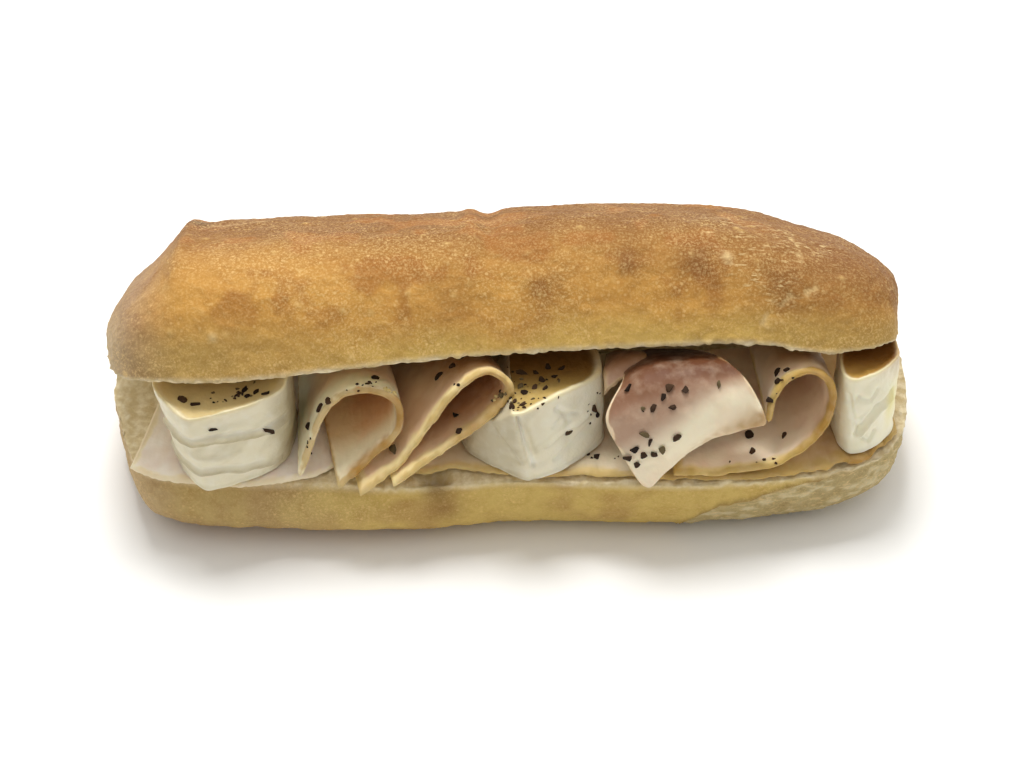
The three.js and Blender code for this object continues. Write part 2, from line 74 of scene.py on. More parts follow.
# Number of points round and along each kind of piece
BREAD_GRID = (230, 400)
CHEESE_GRID = (170, 110)
ROLL_GRID = (200, 78)
ROLL_3_GRID = (150, 110)
FOLD_GRID = (70, 60)
BASE_GRID = (170, 40)

# [x, value] stations along the roll
LOWER_FRONT = [[-110, -33], [-88, -32.5], [-56, -33.5], [-28, -36.5], [0, -35.5], [51, -38.5], [113, -37]]
LOWER_BULGE = [[-110, 3], [-56, 4.5], [-28, 2], [51, -0.5], [113, 0]]
LIFTED_END = [[60, 0], [84, 2.5], [100, 7], [113, 12]]
UPPER_REACH = [[-110, 70], [-73, 71], [-34, 68.5], [-5, 66.5], [60, 66], [86, 68.5], [108, 68]]
UPPER_TILT = [[-110, 28.5], [-75, 27.8], [-20, 31], [40, 32.6], [66, 32.5], [84, 30.4], [108, 31.5]]
UPPER_HEIGHT = [
    [-110, 0.3], [-104, 0.55], [-97, 0.71], [-91, 0.9], [-87, 1.03], [-82, 1], [-60, 1.01], [-13, 0.975],
    [-9, 1], [-4, 0.95], [1, 0.985], [25, 1.01], [50, 0.98], [68, 0.92], [82, 0.83], [96, 0.7], [108, 0.5],
]


# Curves and noise


def through(stations, x):
    """A smooth curve through [x, value] stations, level outside them."""
    xs, values = np.array(stations, float).T
    before = np.maximum(np.arange(len(xs)) - 1, 0)
    after = np.minimum(np.arange(len(xs)) + 1, len(xs) - 1)
    slopes = (values[after] - values[before]) / (xs[after] - xs[before])
    x = np.clip(x, xs[0], xs[-1])
    k = np.clip(np.searchsorted(xs, x) - 1, 0, len(xs) - 2)
    step = xs[k + 1] - xs[k]
    f = (x - xs[k]) / step
    f2, f3 = f**2, f**3
    start = values[k] * (2 * f3 - 3 * f2 + 1) + slopes[k] * step * (f3 - 2 * f2 + f)
    return start + values[k + 1] * (3 * f2 - 2 * f3) + slopes[k + 1] * step * (f3 - f2)


def closing(t, power):
    """How far an outline closes at t from its middle (0) to its end (1)."""
    return np.maximum(0, 1 - np.abs(t) ** power) ** (1 / power)


def swell(distance, radius):
    """A smooth swell, 1 at the middle of a spot and near 0 two radii away."""
    return np.exp(-((distance / radius) ** 2))


def smooth(low, high, value):
    """0 below low, 1 above high, and a smooth step between."""
    f = np.clip((value - low) / (high - low), 0, 1)
    return f * f * (3 - 2 * f)


def away(p, spot):
    """How far points are from a spot."""
    return np.linalg.norm(p - np.array(spot, float), axis=-1)


def away_from_line(p, line):
    """How far points are from a line of places."""
    line = np.array(line, float)
    nearest = np.full(p.shape[:-1], 1e9)
    for a, b in zip(line[:-1], line[1:]):
        share = np.clip((p - a) @ (b - a) / ((b - a) @ (b - a)), 0, 1)
        nearest = np.minimum(nearest, away(p - share[..., None] * (b - a), a))
    return nearest


def cell_values(cell, seed):
    """A repeatable number from 0 to 1 for each cell of a lattice."""
    x, y, z = (cell[..., k].astype(np.uint64) for k in range(3))
    mixed = x * np.uint64(73856093) ^ y * np.uint64(19349663) ^ z * np.uint64(83492791)
    mixed = (mixed ^ np.uint64(seed * 2654435761 % 2**32)) & np.uint64(0xFFFFFFFF)
    for _ in range(2):
        mixed = ((mixed ^ (mixed >> np.uint64(15))) * np.uint64(2246822519)) & np.uint64(0xFFFFFFFF)
    return (mixed ^ (mixed >> np.uint64(13))).astype(float) / 2**32


def noise(p, size, seed=1):
    """Smooth noise from -1 to 1, with lumps of a size in millimetres (one, or one for each axis)."""
    p = p / np.array(size, float) + 1000
    cell = np.floor(p).astype(np.int64)
    f = p - cell
    f = f * f * (3 - 2 * f)
    total = 0
    for corner in itertools.product((0, 1), repeat=3):
        weight = np.prod(np.where(corner, f, 1 - f), axis=-1)
        total = total + weight * cell_values(cell + np.array(corner), seed)
    return 2 * total - 1


def layered(p, size, seed=1, layers=3):
    """Noise in layers, each half the size and half the height of the one before."""
    size = np.array(size, float)
    return sum(noise(p, size / 2**k, seed + k) / 2**k for k in range(layers))


def spots(p, size, seed=1):
    """Distance to the nearest of many scattered points, about one to a cell, and its own number."""
    p = p / size + 1000
    cell = np.floor(p).astype(np.int64)
    nearest = np.full(p.shape[:-1], 9.0)
    number = np.zeros(p.shape[:-1])
    for offset in itertools.product((-1, 0, 1), repeat=3):
        other = cell + np.array(offset)
        middle = np.stack([cell_values(other, seed + k) for k in range(3)], axis=-1)
        distance = np.linalg.norm(other + middle - p, axis=-1)
        closer = distance < nearest
        nearest = np.where(closer, distance, nearest)
        number = np.where(closer, cell_values(other, seed + 3), number)
    return nearest * size, number


def curve(points, shares):
    """A smooth open curve through points (first axis), at shares of the way along."""
    points = np.array(points, float)
    ends = [2 * points[:1] - points[1:2], points, 2 * points[-1:] - points[-2:-1]]
    padded = np.concatenate(ends)
    return spline(padded, np.asarray(shares) * (len(points) - 1), len(points) - 2, CURVE_TENSION)


def closed_curve(points, turns):
    """A smooth closed curve through points, at shares of a turn."""
    points = np.array(points, float)
    padded = np.concatenate([points[-1:], points, points[:2]])
    return spline(padded, (np.asarray(turns) % 1) * len(points), len(points) - 1, OUTLINE_TENSION)


def spline(padded, place, last, tension):
    k = np.clip(np.floor(place).astype(int), 0, last)
    f = (place - k).reshape((-1,) + (1,) * (padded.ndim - 1))
    p0, p1, p2, p3 = (padded[k + step] for step in range(4))
    start, end = tension * (p2 - p0), tension * (p3 - p1)
    cubic = 2 * p1 - 2 * p2 + start + end
    square = -3 * p1 + 3 * p2 - 2 * start - end
    return p1 + start * f + square * f**2 + cubic * f**3


def evenly(path, values, count, weight=None):
    """Values of a densely sampled path at places that are evenly far apart, or weighted."""
    steps = np.linalg.norm(np.diff(path, axis=0), axis=1)
    if weight is not None:
        steps = steps * (weight[1:] + weight[:-1]) / 2
    run = np.concatenate([[0], np.cumsum(steps)])
    places = np.interp(np.linspace(0, run[-1], count), run, np.arange(len(path)))
    return np.interp(places, np.arange(len(path)), values)


# Meshes


def raised(base, height):
    """Rings of points moved out along their normals."""
    return base + surface_normals(base, closed=True) * height[..., None]


def unit(vectors):
    return vectors / np.maximum(np.linalg.norm(vectors, axis=-1, keepdims=True), 1e-9)


def surface_normals(p, closed=False):
    """Normals of a grid of points, rows by columns, where the columns may close on themselves."""
    along = np.gradient(p, axis=0)
    if closed:
        around = np.roll(p, -1, axis=1) - np.roll(p, 1, axis=1)
    else:
        around = np.gradient(p, axis=1)
    return unit(np.cross(around, along))


def grid_faces(rows, columns, closed, first=0, flip=False):
    """Four-sided faces of a grid of points, rows by columns."""
    n = np.arange(rows * columns).reshape(rows, columns) + first
    n = np.concatenate([n, n[:, :1]], axis=1) if closed else n
    corners = [n[:-1, :-1], n[:-1, 1:], n[1:, 1:], n[1:, :-1]]
    return np.stack([c.ravel() for c in (corners[::-1] if flip else corners)], axis=1)


def make_mesh(name, points, faces, tint, masks, finish):
    """A smooth-shaded mesh with a colour and masks at its points, riding on the sandwich."""
    mesh = bpy.data.meshes.new(name)
    mesh.from_pydata(((points - SOURCE_MIDDLE) / METRE).tolist(), [], [list(f) for f in faces])
    mesh.polygons.foreach_set("use_smooth", np.ones(len(mesh.polygons), bool))
    colour = mesh.attributes.new("tint", "FLOAT_COLOR", "POINT")
    opaque = np.concatenate([tint, np.ones((len(tint), 1))], axis=1)
    colour.data.foreach_set("color", opaque.astype(np.float32).ravel())
    for mask, values in masks.items():
        layer = mesh.attributes.new(mask, "FLOAT", "POINT")
        layer.data.foreach_set("value", np.asarray(values, np.float32).ravel())
    mesh.materials.append(finish)
    mesh.update()
    piece = bpy.data.objects.new(name, mesh)
    bpy.context.scene.collection.objects.link(piece)
    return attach(piece, "root")


def ringed_mesh(name, grid, tint, masks, finish):
    """A closed body from a grid of rings whose first and last row are poles."""

    def in_a_row(values):
        middle = values[1:-1].reshape(-1, *values.shape[2:])
        return np.concatenate([values[:1, 0], middle, values[-1:, 0]])

    rows, columns = grid.shape[:2]
    rings = grid_faces(rows - 2, columns, True, first=1)
    start = 1 + (rows - 3) * columns
    last = start + columns
    pairs = [(a, (a + 1) % columns) for a in range(columns)]
    caps = [(0, 1 + b, 1 + a) for a, b in pairs] + [(last, start + a, start + b) for a, b in pairs]
    masks = {mask: in_a_row(values) for mask, values in masks.items()}
    return make_mesh(name, in_a_row(grid), [*rings.tolist(), *caps], in_a_row(tint), masks, finish)


def linear(red, green, blue):
    """A screen colour, 0 to 255, as light."""
    c = np.array([red, green, blue]) / 255
    return np.where(c <= 0.04045, c / 12.92, ((c + 0.055) / 1.055) ** 2.4)


def toward(tint, colour, share):
    """A colour, or colours, moved towards another by a share."""
    share = np.clip(np.asarray(share), 0, 1)[..., None]
    return tint * (1 - share) + np.asarray(colour) * share


def washed(tint, *washes):
    """Colours moved in turn towards others, each given as a screen colour and a share."""
    for colour, share in washes:
        tint = toward(tint, linear(*colour), share)
    return tint


# Materials


class Graph:
    """The nodes of a material or a world, put together from small steps."""

    def __init__(self, owner):
        owner.use_nodes = True
        self.owner = owner
        self.nodes = owner.node_tree.nodes

    def give(self, sockets, values):
        """Set sockets to values, or link them to other nodes' outputs."""
        for key, value in values.items():
            if isinstance(value, bpy.types.NodeSocket):
                self.owner.node_tree.links.new(value, sockets[key])
            elif sockets[key].type == "RGBA":
                sockets[key].default_value = (*value, 1)
            else:
                sockets[key].default_value = value

    def node(self, kind, output, inputs, **settings):
        """An output of a new node with its inputs and settings."""
        made = self.nodes.new("ShaderNode" + kind)
        for key, value in settings.items():
            setattr(made, key, value)
        self.give(made.inputs, inputs)
        return made.outputs[output]

    def attribute(self, name, output="Fac"):
        return self.node("Attribute", output, {}, attribute_name=name)

    def noise(self, scale, detail, rough=0.55):
        """Noise in the piece's own space, in lumps to the metre (one, or one for each axis)."""
        place = self.node("TexCoord", "Object", {})
        scales = scale if isinstance(scale, tuple) else (scale,) * 3
        place = self.node("VectorMath", "Vector", {0: place, 1: scales}, operation="MULTIPLY")
        inputs = {"Vector": place, "Scale": 1, "Detail": detail, "Roughness": rough}
        return self.node("TexNoise", "Fac", inputs)

    def dots(self, scale):
        """Distance to the nearest of many scattered dots, so many to the metre."""
        place = self.node("TexCoord", "Object", {})
        return self.node("TexVoronoi", "Distance", {"Vector": place, "Scale": scale})

    def ranged(self, value, low, high, out_low=0, out_high=1):
        """A value spread from one range to another, and held inside it."""
        ends = {"From Min": low, "From Max": high, "To Min": out_low, "To Max": out_high}
        return self.node("MapRange", "Result", {"Value": value, **ends})

    def times(self, a, b):
        return self.node("Math", "Value", {0: a, 1: b}, operation="MULTIPLY")

    def mixed(self, share, a, b, blend="MIX"):
        """Colour a moved towards colour b by a share."""
        mix = self.nodes.new("ShaderNodeMix")
        mix.data_type = "RGBA"
        mix.blend_type = blend
        colours = [s for s in mix.inputs if s.name in ("A", "B") and s.type == "RGBA"]
        self.give([mix.inputs["Factor"], *colours], {0: share, 1: a, 2: b})
        return next(s for s in mix.outputs if s.type == "RGBA")

    def bumped(self, *layers):
        """A bumped normal from layers of height, depth in metres and strength, lowest first."""
        under = {}
        for height, depth, strength in layers:
            inputs = {"Height": height, "Distance": depth, "Strength": strength, **under}
            under = {"Normal": self.node("Bump", "Normal", inputs)}
        return under["Normal"]

    def finished(self, **values):
        """The material, with values or links for its shader's inputs."""
        values = {key.replace("_", " "): value for key, value in values.items()}
        self.give(self.nodes["Principled BSDF"].inputs, values)
        return self.owner


def crust_finish():
    """Baked crust under a dense pale grain, and torn crumb where the crumb mask is 1."""
    graph = Graph(bpy.data.materials.new("baked crust"))
    tint, flour = graph.attribute("tint", "Color"), graph.attribute("flour")
    fine, grain, broad = graph.noise(1500, 6, 0.8), graph.noise(420, 4), graph.noise(120, 4, 0.65)
    colour = graph.mixed(graph.ranged(broad, 0.5, 0.72, 0, 0.6), tint, (0.8, 0.7, 0.56), "MULTIPLY")
    colour = graph.mixed(graph.ranged(grain, 0.45, 0.7, 0, 0.5), colour, (0.82, 0.74, 0.6), "MULTIPLY")
    pale = graph.mixed(0.5, tint, linear(250, 216, 150))
    colour = graph.mixed(graph.times(graph.ranged(fine, 0.48, 0.62), flour), colour, pale)
    dotted = graph.times(graph.ranged(graph.dots(520), 0.16, 0.26, 1, 0), flour)
    colour = graph.mixed(graph.times(dotted, graph.ranged(broad, 0.42, 0.55)), colour, pale)
    streaky = graph.ranged(graph.noise((260, 1300, 1300), 4, 0.6), 0.55, 0.62)
    streaky = graph.times(streaky, graph.attribute("streaks"))
    colour = graph.mixed(streaky, colour, linear(232, 204, 148))
    crumb = graph.mixed(graph.ranged(grain, 0.4, 0.65), linear(224, 204, 158), linear(250, 236, 202))
    colour = graph.mixed(graph.attribute("crumb"), colour, crumb)
    normal = graph.bumped((fine, 0.0004, 0.6), (grain, 0.0007, 0.5))
    return graph.finished(Base_Color=colour, Normal=normal, Roughness=0.72, Specular_IOR_Level=0.3)


def ham_finish():
    """Cooked ham: moist, a little see-through, with pale fibres."""
    graph = Graph(bpy.data.materials.new("cooked ham"))
    tint, grain, fine = graph.attribute("tint", "Color"), graph.noise(260, 4), graph.noise(900, 2)
    colour = graph.mixed(graph.ranged(grain, 0.45, 0.7, 0, 0.16), tint, linear(244, 224, 196))
    normal = graph.bumped((fine, 0.0002, 0.3), (grain, 0.0006, 0.35))
    graph.finished(Base_Color=colour, Normal=normal, Roughness=0.55, Specular_IOR_Level=0.25)
    radius = (1.0, 0.65, 0.45)
    return graph.finished(Subsurface_Weight=0.25, Subsurface_Scale=0.002, Subsurface_Radius=radius)


def cheese_finish():
    """Soft cheese: a white rind with a bloom, and glossier paste where the paste mask is 1."""
    graph = Graph(bpy.data.materials.new("soft cheese"))
    tint, grain, fine = graph.attribute("tint", "Color"), graph.noise(300, 4), graph.noise(1200, 2)
    rind = graph.ranged(graph.attribute("paste"), 0, 1, 1, 0)
    bloom = graph.times(rind, graph.ranged(grain, 0.45, 0.75, 0, 0.25))
    colour = graph.mixed(bloom, tint, linear(252, 250, 238))
    normal = graph.bumped((fine, 0.0002, 0.3), (grain, 0.0005, 0.3))
    graph.finished(Base_Color=colour, Normal=normal, Roughness=graph.ranged(rind, 0, 1, 0.32, 0.42))
    radius = (1.0, 0.8, 0.5)
    return graph.finished(Subsurface_Weight=0.3, Subsurface_Scale=0.003, Subsurface_Radius=radius)


def pepper_finish():
    """Cracked pepper, each flake in its own shade."""
    graph = Graph(bpy.data.materials.new("cracked pepper"))
    tint = graph.attribute("tint", "Color")
    return graph.finished(Base_Color=tint, Roughness=0.75, Specular_IOR_Level=0.2)


FINISHES = {
    "crust": crust_finish(),
    "ham": ham_finish(),
    "cheese": cheese_finish(),
    "pepper": pepper_finish(),
}


# The bread


def lumps(x, y, z):
    """Gentle lumps of a baked crust, about -1 to 1."""
    broad = np.sin(x / 17 + 1.3 * np.sin(y / 19)) * np.cos(y / 14 + z / 11 + 0.6)
    middle = np.sin(x / 7.5 - y / 9 + 1.1) * np.sin(z / 6.5 + x / 21)
    small = np.sin(x / 3.9 + y / 5.3) * np.cos(y / 4.1 - z / 3.7 + x / 8)
    return 0.55 * broad + 0.3 * middle + 0.15 * small


def crumb_rise(x, y):
    """The rise and fall of torn crumb on a cut face."""
    return 0.35 * np.sin(x / 4.3 + 1.7 * np.sin(y / 6)) * np.sin(y / 3.6 + 0.5 * np.sin(x / 5))


def upper_cut(x, y):
    """Height of the upper half's cut face over a point of the plan."""
    return CUT_HEIGHT + SEAM + (BACK_Y - y) * np.tan(np.radians(through(UPPER_TILT, x)))


def section(turn, power):
    """Share across, and share of the dome's depth, round the section of a half roll."""
    angle = turn * 2 * math.pi
    across = np.cos(angle)
    flat = turn <= 0.5
    rounded = np.sign(across) * np.abs(across) ** (2 / power)
    depth = np.abs(np.sin(angle)) ** (2 / power)
    return np.where(flat, across, rounded), np.where(flat, 0, depth)


def plan_share(t, ends):
    """How wide a half roll still is at t, with the powers of its left and right end."""
    return closing(t, np.where(t < 0, *ends))


def along_roll(t, right, slants, front):
    middle, half = (BREAD_LEFT + right) / 2, (right - BREAD_LEFT) / 2
    slant = np.where(t < 0, slants["left"], -slants["right"])
    return middle + half * t + slant * np.maximum(0, front) * np.abs(t) ** 6


def bread_turns(power, count, flat_weight):
    """Shares of a turn round a half roll, evenly apart on the dome and wider on the cut face."""
    dense = np.linspace(0, 1, 4001)
    across, depth = section(dense, power)
    weight = np.where(dense <= 0.5, flat_weight, 1.0)
    return evenly(np.stack([35 * across, 30 * depth], axis=1), dense, count + 1, weight)[:-1]


def bread_rows(ends, count):
    """Places along a roll from 1 to -1, evenly apart over its rounded ends."""
    angle = np.linspace(0, math.pi / 2, 2001)
    left, right = (
        np.stack([side * np.cos(angle) ** (2 / power), np.sin(angle) ** (2 / power)], axis=1)
        for side, power in zip((-1, 1), ends)
    )
    path = np.concatenate([right, left[::-1][1:]])
    return evenly(path * (111, 34), path[:, 0], count)


def lower_shape(turn, t):
    """Points of the lower half, and which of them are on the cut face."""
    across, depth = section(turn, LOWER_POWER)
    plan = plan_share(t, LOWER_ENDS)
    x = along_roll(t, LOWER_RIGHT, LOWER_SLANT, -across * plan)
    front = through(LOWER_FRONT, x)
    wall = np.sin(np.minimum(1, depth) * math.pi)
    half = (BACK_Y - front) / 2 + through(LOWER_BULGE, x) * wall
    relief = 0.5 * plan * lumps(x, front * across, 20 * depth) * wall
    y = (BACK_Y + front) / 2 + (half * plan + relief) * across
    dome = LOWER_DOME * depth * plan_share(t, (7, 5)) + relief
    bubble = np.where(depth == 0, 3.6 * swell(np.hypot((x + 20) / 1.6, y + 34), 2.6), 0)
    z = CUT_HEIGHT + plan * crumb_rise(x, y) * np.where(depth == 0, 1, 0.4) - dome - bubble
    return np.stack([x, y, np.maximum(z, through(LIFTED_END, x))], axis=-1)


def upper_shape(turn, t):
    """Points of the upper half, tilted open about its back."""
    across, depth = section(1 - turn, UPPER_POWER)
    plan = plan_share(t, UPPER_ENDS)
    x = along_roll(t, UPPER_RIGHT, UPPER_SLANT, -across * plan)
    reach = through(UPPER_REACH, x)
    along = reach / 2 - (reach / 2) * plan * across
    dome = UPPER_DOME * through(UPPER_HEIGHT, x) * depth * plan_share(t, (8, 12))
    relief = 0.7 * plan * lumps(x, along, dome) * np.minimum(1, depth * 2)
    rise = dome + relief + np.where(depth == 0, np.abs(crumb_rise(x, along)) * plan, 0)
    tilt = np.radians(through(UPPER_TILT, x))
    y = BACK_Y - along * np.cos(tilt) + rise * np.sin(tilt)
    z = CUT_HEIGHT + SEAM + along * np.sin(tilt) + rise * np.cos(tilt)
    return np.stack([x, y, z], axis=-1)


def blisters(p):
    """Small pale blisters scattered over a crust, 0 to 1."""
    distance, number = spots(p, 4.5, 7)
    return smooth(0.55, 0.95, number) * swell(distance, 0.8)


def crust_relief(p):
    """Fine lumps and small blisters of a baked crust, in millimetres."""
    return 0.3 * layered(p, 5, 3) + 0.14 * layered(p, 1.4, 9, 2) + 0.35 * blisters(p)


def crumb_relief(p):
    """Torn, open crumb: pits and ridges, in millimetres."""
    distance, number = spots(p, 2.6, 21)
    pits = -1.1 * smooth(0.35, 1.0, number) * swell(distance, 0.85)
    return pits + 0.35 * layered(p, 2.2, 23)


# Darker and browner patches of the upper crust: place, radius and strength
UPPER_PATCHES = [
    [(-50, 15, 71.5), 5, 0.55], [(-43, 10, 74), 5, 0.5], [(11, 8, 77.6), 6, 0.4],
    [(32.6, -6.4, 77.5), 4.5, 0.8], [(51, -6.4, 77), 7, 0.8], [(72, -11, 73.6), 8, 0.6],
    [(11, -12, 73), 6, 0.5], [(-14, -14, 70), 8, 0.35], [(-82, 24, 66), 9, 0.7],
]

# Single large blisters of the upper crust: place and radius
UPPER_BLISTERS = [[(-77, -22, 68), 1.1], [(58.4, -5.5, 77), 1.3], [(-84, -10, 68), 0.9]]

# Cracks in the upper crust, as lines of places
CRACKS = [
    [(76.5, 15.8, 68.1), (76.9, 6.3, 72.8), (77.7, -0.8, 74.7), (77.9, -5.8, 74.9)],
    [(67.1, -18.8, 64.6), (69.2, -17, 67.5), (72.6, -15.8, 69.5), (77.1, -14.8, 71), (81.2, -13.5, 71.8)],
]

# Strips of torn, paler crust along the back of the upper half
TORN = [
    [(-80, 26, 65), (-75, 25.5, 65.4), (-70, 25, 65.9), (-67, 26.5, 65)],
    [(-9, 16, 73), (-5, 18, 71.8), (-2, 19, 71)],
]

# Where flour lies in streaks on the upper crust: place and radius
STREAKS = [[(64, 8, 76), 13], [(68, -12, 74), 8], [(84, 5, 72), 8]]


def upper_bread():
    turns = bread_turns(UPPER_POWER, BREAD_GRID[0], 0.35)
    t = bread_rows(UPPER_ENDS, BREAD_GRID[1])[:, None]
    base = upper_shape((1 - turns[None, :]) % 1, t)
    _, depth = section(turns[None, :] + 0 * t, UPPER_POWER)
    flat = (depth == 0) * 1.0
    lip = (1 - smooth(0, 0.07, depth)) * (1 - flat)
    wobble = base + 1.1 * layered(base, 2.4, 71)[..., None]
    crack = sum(swell(away_from_line(wobble, line), 0.6) for line in CRACKS)
    crack = crack * smooth(-0.4, 0.3, noise(base, 3.5, 73))
    large = sum(swell(away(base, spot), radius) for spot, radius in UPPER_BLISTERS)
    ragged = 0.8 * layered(base, 1.9, 77) * lip
    relief = (crust_relief(base) + 0.5 * large - 0.5 * crack) * (1 - flat) + crumb_relief(base) * flat
    relief = relief + ragged
    p = raised(base, relief * np.minimum(1, plan_share(t, UPPER_ENDS) * 3))
    x, y, z = (p[..., k] for k in range(3))
    climb = y + z + 5 * noise(p, 16, 5)
    low = 1 - smooth(36, 54, climb)
    wavy = p + 1.5 * layered(p, 4, 19)[..., None]
    torn = sum(swell(away_from_line(wobble, line), 1.1) for line in TORN)
    torn = torn * smooth(-0.5, 0.2, noise(base, 2.4, 75))
    tint = washed(
        linear(204, 150, 70) + 0 * p,
        ((114, 68, 24), 0.9 * smooth(56, 92, climb)),
        ((208, 172, 90), low * smooth(-90, -20, x)),
        ((188, 152, 82), low * smooth(20, 90, -x)),
        ((158, 100, 38), 0.7 * smooth(0.0, 0.5, layered(p, 9, 11)) * smooth(38, 60, climb)),
        ((156, 130, 104), 0.8 * smooth(84, 104, -x)),
        ((206, 184, 148), 0.8 * smooth(98, 109, -x) * (1 - smooth(44, 62, climb))),
        ((122, 76, 34), 0.85 * smooth(52, 90, x) * (0.4 + 0.6 * smooth(44, 66, climb))),
        *(((120, 70, 24), share * swell(away(wavy, spot), radius)) for spot, radius, share in UPPER_PATCHES),
        ((232, 204, 148), 0.75 * np.maximum(large, crack)),
        ((232, 196, 126), 0.6 * blisters(base)),
        ((210, 176, 126), 0.7 * torn),
        ((84, 56, 36), 0.9 * swell(away(p, (-84, 28, 64)), 3)),
    )
    streaks = np.clip(sum(swell(away(p, spot), radius) for spot, radius in STREAKS), 0, 1)
    masks = {
        "crumb": np.maximum(flat, 0.8 * lip),
        "flour": (0.5 + 0.4 * smooth(-0.4, 0.5, layered(p, 14, 15))) * (1 - flat),
        "streaks": 0.8 * streaks * smooth(-0.2, 0.3, layered(p, 5, 61, 2)),
    }
    return ringed_mesh("upper_bread", p, tint, masks, FINISHES["crust"])


# Where the underside of the lower half shows below its front wall: [x, height]
UNDERSIDE = [[44, -3], [48, 6], [53, 13], [63, 16.5], [73, 19.5], [84, 22], [100, 25]]


def lower_bread():
    turn = bread_turns(LOWER_POWER, BREAD_GRID[0], 0.7)[None, :]
    t = bread_rows(LOWER_ENDS, BREAD_GRID[1])[:, None]
    base = lower_shape(turn, t)
    _, depth = section(turn + 0 * t, LOWER_POWER)
    flat = (depth == 0) * 1.0
    lip = (1 - smooth(0, 0.1, depth)) * (1 - flat)
    resting = smooth(0.2, 2.0, base[..., 2] - through(LIFTED_END, base[..., 0]))
    below = through(UNDERSIDE, base[..., 0]) - base[..., 2] + 1.2 * layered(base, 6, 45)
    in_front = (1 - smooth(-12, 4, base[..., 1])) * (1 - flat)
    under = smooth(0, 1.5, below) * in_front
    wrinkles = 0.6 * (1 - np.abs(layered(base, (4, 3, 2), 47))) ** 3 * under
    wrinkles = wrinkles - 0.5 * swell(below, 1) * in_front
    relief = (crust_relief(base) + wrinkles) * (1 - flat) + crumb_relief(base) * flat
    relief = relief * resting + 0.6 * layered(base, 1.9, 79) * lip
    p = raised(base, relief * np.minimum(1, plan_share(t, LOWER_ENDS) * 3))
    x, _, z = (p[..., k] for k in range(3))
    # Painted shade in the hole of the cut face, where the crumb colour is left out
    hole_shade = swell(away(p, (-20, -34.5, 23)), 4)
    tint = washed(
        linear(212, 182, 102) + 0 * p,
        ((178, 138, 78), 0.6 * smooth(0, 0.8, layered(p, 15, 41))),
        ((168, 142, 104), 0.5 * smooth(30, 70, -x)),
        ((198, 156, 112), 0.7 * (1 - smooth(2, 10, z)) * smooth(-20, 60, -x)),
        ((188, 160, 120), 0.7 * smooth(86, 100, -x)),
        ((132, 86, 40), 0.7 * swell(away(p, (-18.5, -37, 16)), 5.5)),
        ((176, 160, 118), 0.8 * under),
        ((222, 208, 168), 0.7 * under * smooth(0.1, 0.6, layered(p, (5, 3, 2), 49))),
        # Painted shade along the crease where the underside turns up
        ((120, 88, 46), 0.6 * swell(below, 0.8) * in_front),
        # Painted shade in the hole of the cut face
        ((104, 66, 28), 0.9 * hole_shade),
    )
    masks = {
        "crumb": np.maximum(flat, 0.7 * lip) * (1 - 0.9 * hole_shade),
        "flour": (0.35 + 0.4 * smooth(-0.2, 0.7, layered(p, 15, 43))) * (1 - flat),
        "streaks": 0.5 * under,
    }
    return ringed_mesh("lower_bread", p, tint, masks, FINISHES["crust"])


# Slices of ham


def patch(rows, us, vs):
    """Grid of points, vs by us, on a surface through rows of points."""
    along = curve(np.transpose(np.array(rows, float), (1, 0, 2)), us)
    return curve(np.transpose(along, (1, 0, 2)), vs)


# How far back the rows of a rolled slice lie behind its front edge
RECEDING_SHARES = [0.22, 0.44, 0.66]


def receding(front, start_lean, end_lean):
    """Rows that run back from a front edge into the wedge, leaning along the roll by two amounts."""
    front = np.array(front, float)
    lean = np.linspace(start_lean, end_lean, len(front))
    rows = [front]
    for share in RECEDING_SHARES:
        left = 1 - share
        z = np.maximum(CUT_HEIGHT + (front[:, 2] - CUT_HEIGHT) * left, FILLING_FLOOR + HAM / 2)
        rows.append(np.stack([front[:, 0] + lean * share, BACK_Y - (BACK_Y - front[:, 1]) * left, z], axis=1))
    return rows


def base_slice(start, end, lean, front, wave, pitch):
    """A flat slice on the lower half, with a wavy front edge and a left side that may lean."""
    level = CUT_HEIGHT + 2 * CLEARANCE + BASE_SLICE / 2

    def surface(us, vs):
        u, v = np.meshgrid(us, vs)
        x = start + (end - start) * u + lean * v * (1 - u)
        edge = through(front, x)
        y = edge + (BASE_BACK - edge) * v
        ripple = through(wave, x) * (1 - v) * np.sin((x / pitch) * 2 * math.pi + 0.08 * y)
        return np.stack([x, y - ripple, level + np.abs(ripple)], axis=-1)

    return surface


# The folded slices, each by the points of its front edge from one end of the edge to the other

ROLL_1_FRONT = [
    (-56.5, -35.6, 28.8), (-54, -33, 35), (-49.5, -29.3, 45.5), (-43.5, -27.2, 50.7), (-35.5, -27, 51.2),
    (-29.6, -28, 47.4), (-29.8, -31, 39.8), (-37, -34, 33), (-46.3, -38.4, 25.8),
]

ROLL_2_FRONT = [
    (-40.5, -40, 24.8), (-29.6, -35.2, 31.6), (-21.2, -31.2, 42.5), (-12.5, -27.6, 53), (-5, -26, 56.6),
    (0.6, -27.6, 51.6), (-4.6, -30.5, 44.6), (-16.5, -33.6, 36), (-31.5, -39, 27.2),
]

ROLL_4_FRONT = [
    (44, -38, 28), (58, -38, 27.9), (72, -36.4, 29.2), (81.5, -33.6, 34.5), (86, -30.6, 41.6),
    (86, -27.8, 49.5), (81, -26.2, 53.8), (74.5, -26.8, 52), (70.5, -29, 46.4), (69.5, -31.4, 40.5),
]

ROLL_3_ROWS = [
    [(41, -32.6, 30), (50, -31, 33.5), (59.5, -29.6, 37), (66, -29, 41)],
    [(36.2, -40.4, 26.2), (47, -35.9, 35.7), (56.5, -34.2, 40.6), (68.3, -33.3, 43)],
    [(29, -36.8, 37.4), (43, -37, 42.5), (54.5, -34.4, 47.2), (66, -31.2, 49)],
    [(25.4, -33.4, 46.2), (38, -32.8, 51.2), (51, -30.4, 54.6), (62, -28, 54.6)],
    [(30.5, -24, 50), (38, -23, 54), (48, -22, 55), (57, -21, 54)],
    [(32, -6, 40), (38, -5, 42), (46, -5, 42), (54, -5, 41)],
]

